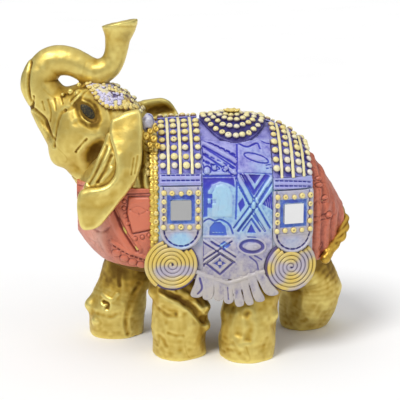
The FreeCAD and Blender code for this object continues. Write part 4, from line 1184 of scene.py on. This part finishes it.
HEM_LINE = [(1.6, 49.6), (8, 46.6), (14.4, 44.4), (18, 43.4), (24, 45), (30, 47.2), (36.2, 49)]
TONGUES = [((2.6, 6.6), (-1, 5.2), 36.4), ((6.4, 10.8), (5, 10), 35), ((11, 15), (10.8, 15.4), 34.4),
           ((15.4, 19.4), (15.8, 20.6), 32.8), ((19.6, 23.4), (21.4, 26), 31.2),
           ((23.6, 27.2), (26.6, 30.8), 31.8), ((27.4, 31), (31.2, 36.4), 33.4),
           ((31.2, 35.4), (36.6, 43.4), 36.6)]
for name, side in SIDES.items():
    node = name + "_centre_panel"
    clay = clay_over(node, 0.38)
    clay.carve(clay.z - np.interp(clay.x, *zip(*HEM_LINE)), ..., 0.3)
    cloth_piece(name + "_patchwork", clay, draw_panel, blanket_tone, BLUE, "blue_blanket", (node,))

    path = spline([(x, side * 38, z) for x, z in HEM_LINE], 60)
    clay = Clay((-3, min(side * 33, side * 43), 26), (47, max(side * 33, side * 43), 54), 0.36)
    for (a, b), (c, d), foot in TONGUES:
        top = float(np.interp((a + b) / 2, *zip(*HEM_LINE)))
        outline = [(a, top + 0.6), (b, top + 0.6), ((b + d) / 2 + 0.1, (top + foot) / 2), (d, foot + 1),
                   ((c + d) / 2, foot - 0.6), (c, foot + 0.8), ((a + c) / 2 - 0.1, (top + foot) / 2)]
        plate(clay, outline, lambda x, z, m=(c + d) / 2: side * (37.4 + 0.05 * np.abs(x - m)), 1.25, 0.6,
              soft=0.2)

    def draw_fringe(relief, verts):
        relief.height += 0.22 * noise(verts * [1, 1, 0.3], 2.6, 21)
        relief.line([(3.6, -36), (4.6, -41), (2.6, -44)], 0.8, -0.7, True)
        relief.line([(17.6, -41), (18, -47)], 0.6, -0.4)

    cloth_piece(name + "_tongues", clay, draw_fringe, blanket_tone, BLUE, "blue_blanket", (name + "_fringe",),
                base=0.26)
    verts, faces, crest = tube(path, 1.15, 10, outward=(0, side, 0))
    verts += normals_of(verts, faces) * (0.12 * noise(verts, 2.2, 3))[:, None]
    add_piece(name + "_hem_roll", verts, faces, BLUE, "blue_blanket", relief=0.3 + 0.3 * crest,
              tone=blanket_tone(cloth_place(verts), verts))

# ---------------------------------------------------------------- lattices, bands, tabs, mirrors, coils
COIL_TURNS, COIL_STEPS, SHORTEST_COIL_RUN = 6.3, 620, 6


def lattice_bead_tone(middle):
    return float(np.interp(middle[2], [96, 104, 116], [0.22, 0.5, 0.75]))


def draw_ground(relief, verts):
    relief.height += 0.25 * noise(verts, 2.6, 17) - 0.3


for name, side in SIDES.items():
    for end in ENDS:
        prefix = "%s_%s_" % (name, end)
        low, high = box_mm(prefix + "tab")
        tab_x, tab_top, tab_foot = (low[0] + high[0]) / 2, high[2] - SHOULDER_LINE, low[2] - SHOULDER_LINE
        half = (high[0] - low[0]) / 2
        mirror_low, mirror_high = box_mm(prefix + "mirror_tile")
        mirror_s = (mirror_low[2] + mirror_high[2]) / 2 - SHOULDER_LINE
        base = box_mm(prefix + "lattice_panel")[0][2] - SHOULDER_LINE

        cloth_piece(prefix + "lattice_ground", clay_over(prefix + "lattice_panel", 0.5), draw_ground,
                    lambda spots, verts: 0.22 + 0.12 * noise(verts, 4, 2), BLUE, "blue_blanket",
                    (prefix + "lattice_panel",), base=0.24)

        def draw_band(relief, verts):
            top, foot = base - 0.3, base - 5.3
            left, right = tab_x - 10, tab_x + 10
            relief.line([(left, top - 0.3), (right, top - 0.3)], 0.8, 0.5)
            relief.line([(left, foot + 0.3), (right, foot + 0.3)], 0.8, 0.5)
            for level in (top - 1.3, foot + 1.3):
                relief.dashes([(left + 0.4, level), (right - 0.4, level)], 0.45, -0.9, 2.4, 0.6)
            relief.line([(left, (top + foot) / 2), (right, (top + foot) / 2)], 1.1, 0.25)

        cloth_piece(prefix + "stitches", clay_over(prefix + "stitched_band", 0.3), draw_band,
                    lambda spots, verts: 0.30 + 0 * spots[:, 0], BLUE, "blue_blanket",
                    (prefix + "stitched_band",), base=0.3)

        def draw_tab(relief, verts):
            """A bound edge with stitches, a sunk frame round the mirror and a plain half-round foot."""
            middle = tab_foot + half
            angles = np.linspace(math.pi, 2 * math.pi, 15)
            for inset, width, height in ((0.9, 0.9, 0.55), (2, 0.5, -0.4)):
                reach = half - inset
                arc = [(tab_x + reach * math.cos(a), middle + reach * math.sin(a)) for a in angles]
                path = [(tab_x - half + inset, tab_top)] + arc + [(tab_x + half - inset, tab_top)]
                relief.line(path, width, height)
            relief.dashes(arc, 0.55, -0.9, 2.7, 0.5)
            frame_corners = [(tab_x - 6.9, mirror_s - 7), (tab_x + 6.9, mirror_s - 7),
                             (tab_x + 6.9, mirror_s + 7), (tab_x - 6.9, mirror_s + 7)]
            relief.fill(frame_corners, -0.45, 0.4, -0.36)
            relief.line([(tab_x - 9.6, mirror_s - 10.6), (tab_x + 9.6, mirror_s - 10.6)], 0.6, 0.4)
            share = (((relief.spots - [tab_x, middle - 5.2]) / [7, 5]) ** 2).sum(axis=1)
            relief.tone -= 0.36 * np.clip(1.2 - share, 0, 1) * (1.0 if end == "front" else 0.35)

        cloth_piece(prefix + "mirror_tab", clay_over(prefix + "tab", 0.32), draw_tab,
                    lambda spots, verts: 0.90 - 0.1 * ramp(spots[:, 1], -12, 4), BLUE, "blue_blanket",
                    (prefix + "tab",), base=0.24)

        # mirror tile: a copy of the glued tile with ground edges
        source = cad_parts[prefix + "mirror_tile"]
        tile = source.copy()
        tile.data = source.data.copy()
        tile.name = prefix + "mirror"
        bpy.context.scene.collection.objects.link(tile)
        tile.data.materials.clear()
        tile.data.materials.append(MIRROR[end])
        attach(tile, "root")
        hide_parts(prefix + "mirror_tile")

        # three cream bars and four rows of beads
        verts, faces, rough = roughened(clay_over(prefix + "lattice_bars", 0.3), 0.16, 1.9, 31, 0.10)
        add_piece(prefix + "bars", verts, faces, BEAD, "gold_bead", (prefix + "lattice_bars",),
                  relief=0.55 + 0.5 * wear_of(verts, faces), tone=0.5 + 0.2 * noise(verts, 6, 2))
        bead_piece(prefix + "bead_rows", prefix + "lattice_beads", lattice_bead_tone, 21, size=1.2,
                   dimpled=0.25)
        bead_piece(prefix + "mirror_beads", prefix + "tab_beads", lambda middle: 0.72, 22, size=1, dimpled=0.45)

        # coil of cord on its disc, wherever the tab doesn't cover it
        node = prefix + "medallion"
        low, high = box_mm(node)
        centre = ((low[0] + high[0]) / 2, low[2] + (high[0] - low[0]) / 2)
        skin = Skin(node)
        share = np.linspace(0, 1, COIL_STEPS) ** 0.75
        angle = 2 * math.pi * COIL_TURNS * share + (2.2 if end == "front" else 0.4)
        reach = 0.4 + ((high[0] - low[0]) / 2 - 1.1) * share
        runs = [[]]
        for a, r in zip(angle, reach):
            hit = skin.cast((centre[0] + r * math.cos(a), 0, centre[1] + r * math.sin(a)), (0, side, 0))
            if hit is not None:
                runs[-1].append(hit - [0, side * 0.25, 0])
            elif runs[-1]:
                runs.append([])
        made = []
        for run in runs:
            if len(run) <= SHORTEST_COIL_RUN:
                continue
            run = np.array(run)
            run = run + 0.10 * np.stack([noise(run, 5, 41), 0 * run[:, 0], noise(run, 5, 42)], axis=1)
            # painted shade: each turn of cord is coloured darker on its flanks and lighter on its outward crest
            verts, faces, crest = tube(run, 0.98 + 0.10 * noise(run, 4, 43), 10, 0.9, (0, side, 0))
            made.append((verts, faces, 0.12 + 0.55 * crest, np.clip(0.35 + 1.1 * noise(verts, 6, 44), 0, 1)))
        beads_of(prefix + "coil", made, CORD, "gold_cord")
        verts, faces = clay_over(node, 0.42).mesh()
        normals = normals_of(verts, faces)
        face = ramp(normals[:, 1] * side, 0.6, 0.9)
        verts = verts - normals * (0.75 * face + 0.55 * (1 - face))[:, None]
        add_piece(prefix + "coil_disc", verts, faces, CORD, "gold_cord", (node,), relief=-0.25 + 0 * face,
                  tone=np.clip(0.6 + 0.5 * noise(verts, 7, 45), 0, 1))


# ---------------------------------------------------------------- rosette on the back
def draw_rosette(relief, verts):
    relief.height += 0.2 * noise(verts, 2, 51) - 0.3


cloth_piece("rosette_ground", clay_over("back_rosette", 0.45), draw_rosette,
            lambda spots, verts: 0.03 + 0 * spots[:, 0], BLUE, "blue_blanket", ("back_rosette",), base=-0.12,
            limit=lambda verts, normals: ramp(normals[:, 2], 0.4, 0.8))
bead_piece("rosette_bead_rings", "rosette_beads", lambda middle: 0.5, 23, size=1.1, jitter=0.14, dimpled=0.35)
rosette_low, rosette_high = box_mm("back_rosette")
top = Skin("back_rosette").cast(((rosette_low[0] + rosette_high[0]) / 2, 0, 90), (0, 0, 1))
petals = []
PETALS = 7
rng = np.random.default_rng(3)
for number in range(PETALS):
    angle = number * 2 * math.pi / PETALS + 0.3
    out = np.array([math.cos(angle), math.sin(angle), 0.45])
    out /= np.linalg.norm(out)
    petal = BALL * [2.3, 1.35, 0.8]
    petal[:, 2] += 0.12 * petal[:, 0] ** 2
    spin = np.array([[math.cos(angle), -math.sin(angle), 0], [math.sin(angle), math.cos(angle), 0], [0, 0, 1]])
    verts = top + [0, 0, 0.7] + petal @ spin.T + out * 2.5
    petals.append((verts, BALL_FACES, 0.3 + 0.5 * BALL[:, 2], np.full(len(verts), 0.95)))
petals.append((*bead(top + [0, 0, 1.7], np.array([0, 0, 1]), 1.5, rng, 0.5)[:2], 0.5 * BALL[:, 2] + 0.2,
               np.full(len(BALL), 0.9)))
beads_of("rosette_flower", petals, BEAD)

# ---------------------------------------------------------------- headdress and necklace
clay = Clay((-56, -16, 118), (-14, 16, 146), 0.36)
clay.ball(SKULL, (28.6, 21.5, 23.9), SKULL_TILT, soft=0.5)
LOWER_EDGE = [(-53, 139.5), (-46.5, 134.5), (-43, 130.8), (-38.4, 128), (-31, 127), (-20.5, 124.8)]
for distance in (clay.z - np.interp(clay.x, *zip(*LOWER_EDGE)), -21 - clay.x, clay.x + 52.5):
    clay.carve(distance, ..., 0.6)
verts, faces, rough = roughened(clay, 0.35, 1.9, 62, 0.2)
add_piece("headdress_cloth", turned(verts), faces, BEAD, "blue_blanket", ("headdress",),
          relief=0.35 + 0.5 * rough + 0.6 * wear_of(verts, faces, (3,)),
          tone=np.clip(0.62 + 0.5 * noise(verts, 4, 63) - 0.4 * ramp(-verts[:, 0], 32, 38), 0, 1))

rng = np.random.default_rng(31)
nubs = []


def cap_bead(x, z, side, rise, drop, lift, sizes, hollows, tone):
    """A bead at x and z + drop, as far out as the cap is at z + rise, if there is any cap."""
    y = surface_of(clay, x, z + rise, side)
    if y == 0.0:
        return
    middle = np.array([x, y, z + drop])
    out = middle - SKULL
    out = out / np.linalg.norm(out)
    made = bead(middle + out * lift, out, rng.uniform(*sizes), rng, 0.9 if rng.random() < hollows else 0)
    nubs.append((turned(made[0]), *made[1:], np.full(len(made[0]), tone)))


for number in range(420):
    x = rng.uniform(-51, -22)
    side = rng.choice([-1, 1])
    low_edge = np.interp(x, *zip(*LOWER_EDGE))
    z = low_edge + rng.uniform(0.8, 9)
    lavender = -45 < x < -33 and z < low_edge + 6.5
    cap_bead(x, z, side, 0, 0, 0.45, (0.75, 1.25), 0.3, 0.05 if lavender else 0.75)
for side in SIDES.values():
    chain = spline(LOWER_EDGE, 300)
    runs = np.concatenate([[0], np.cumsum(np.linalg.norm(np.diff(chain, axis=0), axis=1))])
    for at in np.arange(0.8, runs[-1] - 0.6, 2.1):
        x, z = (np.interp(at, runs, chain[:, axis]) for axis in range(2))
        cap_bead(x, z, side, 0.8, 0.3, 0.8, (1.1, 1.45), 0.4, 0.92)
beads_of("headdress_cluster", nubs, BEAD)

# a lavender knot and gold rings between the ear and the blanket
clay = Clay((-28, -32, 110), (-14, -14, 130), 0.36)
clay.ball((-21.5, -22.5, 122.5), (3.2, 3.4, 4.6), 10, soft=1)
verts, faces, rough = roughened(clay, 0.6, 1.7, 64)
add_piece("neck_knot", verts, faces, BLUE, "blue_blanket", relief=0.42 + 1.1 * rough, tone=0.8 + 0 * rough)
rings = []
for middle, radius in (((-22.6, -27, 116.4), 2.1), ((-18.6, -28, 115.2), 1.9), ((-20.4, -25.6, 118.6), 1.6),
                       ((-17.4, -25.2, 119.6), 1.5), ((-24.6, -25.6, 118.4), 1.5), ((-16.8, -29.6, 112), 1.6),
                       ((-20.6, -29.2, 112.6), 1.5)):
    out = np.array([0.1, -0.9, 0.42])
    rings.append(bead(np.array(middle), out / np.linalg.norm(out), radius, rng, 1))
verts, faces, values = joined(rings)
add_piece("neck_rings", verts, faces, DARK_GOLD, "gold_bead", wear=0.25 * values[:, 0])

bead_piece("headdress_nubs", "headdress_beads", lambda middle: 0.6, 24, size=1, dimpled=0.5)
blanket_skin = Skin("saddle_cloth")
front = box_mm("saddle_cloth")[0][0]
for name, side in SIDES.items():
    made = []
    for shift, width, wave in ((0.9, 1.25, 0.25), (-0.9, 1.2, 0.5)):
        path = []
        for s in np.linspace(-24, 50, 130):
            if s < 0:
                hit = blanket_skin.cast((front + 0.4, 0, SHOULDER_LINE + s), (0, side, 0))
            else:
                over = (0, side * math.cos(s / CROWN_LENGTH), math.sin(s / CROWN_LENGTH))
                hit = blanket_skin.cast((front + 0.4, 0, SHOULDER_LINE), over)
            if hit is not None:
                path.append(hit + [shift + wave * math.sin(s * 2.1), -side * 0.3, 0])
        swell = 1 + 0.18 * np.sin(np.arange(len(path)) * 1.9)
        made.append(tube(path, width * swell, 10, 0.8, (0, side, 0.3)))
    verts, faces, values = joined([(*piece, piece[2]) for piece in made])
    add_piece(name + "_blanket_edge", verts, faces, DARK_GOLD, "gold_bead", wear=0.2 * values[:, 0])

bead_piece("neck_bead_row", "neck_beads", lambda middle: 0.95, 25, size=1.1, dimpled=0.4)
bead_piece("blanket_edge_beads", "saddle_edge_beads", lambda middle: 0.9, 26, size=1.05, dimpled=0.4)


# ---------------------------------------------------------------- floor, light, camera
def studio_paint():
    paint = Paint("studio_floor", metallic=0, roughness=0.7, specular=0.2)
    cloud = paint.grain(160, 2)
    return paint.finish(paint.colours(cloud, (0.2, (246, 246, 246)), (0.8, (251, 251, 251))))


mesh = bpy.data.meshes.new("studio_floor")
mesh.from_pydata([(-3, -3, 0), (3, -3, 0), (3, 3, 0), (-3, 3, 0)], [], [(0, 1, 2, 3)])
floor = bpy.data.objects.new("studio_floor", mesh)
bpy.context.scene.collection.objects.link(floor)
mesh.materials.append(studio_paint())

world = bpy.data.worlds.new("studio_air")
bpy.context.scene.world = world
world.use_nodes = True
air = world.node_tree
place = air.nodes.new("ShaderNodeTexCoord")
split = air.nodes.new("ShaderNodeSeparateXYZ")
sky = air.nodes.new("ShaderNodeValToRGB")
air.links.new(place.outputs["Generated"], split.inputs["Vector"])
air.links.new(split.outputs["Z"], sky.inputs["Fac"])
air.links.new(sky.outputs["Color"], air.nodes["Background"].inputs["Color"])
for number, (position, bright) in enumerate(((0, 0.16), (0.40, 0.36), (0.7, 0.95), (1, 1.05))):
    element = sky.color_ramp.elements[number] if number < 2 else sky.color_ramp.elements.new(position)
    element.position = position
    element.color = (bright, bright, bright, 1)
air.nodes["Background"].inputs["Strength"].default_value = 0.78


def lamp(name, toward, power, spread):
    """A far, soft light that shines from one direction on everything alike."""
    light = bpy.data.lights.new(name, "SUN")
    light.energy = power
    light.angle = math.radians(spread)
    holder = bpy.data.objects.new(name, light)
    holder.rotation_euler = Vector(toward).to_track_quat("Z", "Y").to_euler()
    bpy.context.scene.collection.objects.link(holder)


lamp("key", (-0.6, -0.75, 1.1), 1.9, 22)
lamp("fill", (0.9, -0.6, 0.6), 0.35, 40)

TARGET = Vector((0.006, 0, 0.0772))
AROUND, ABOVE, DISTANCE = math.radians(-3.5), math.radians(13.3), 0.669
back = Vector((math.sin(AROUND) * math.cos(ABOVE), -math.cos(AROUND) * math.cos(ABOVE), math.sin(ABOVE)))
lens = bpy.data.cameras.new("camera")
lens.lens = 115
lens.sensor_width = 36
camera = bpy.data.objects.new("camera", lens)
camera.location = TARGET + back * DISTANCE
camera.rotation_euler = (-back).to_track_quat("-Z", "Y").to_euler()
bpy.context.scene.collection.objects.link(camera)
bpy.context.scene.camera = camera
bpy.context.scene.view_settings.view_transform = "Standard"
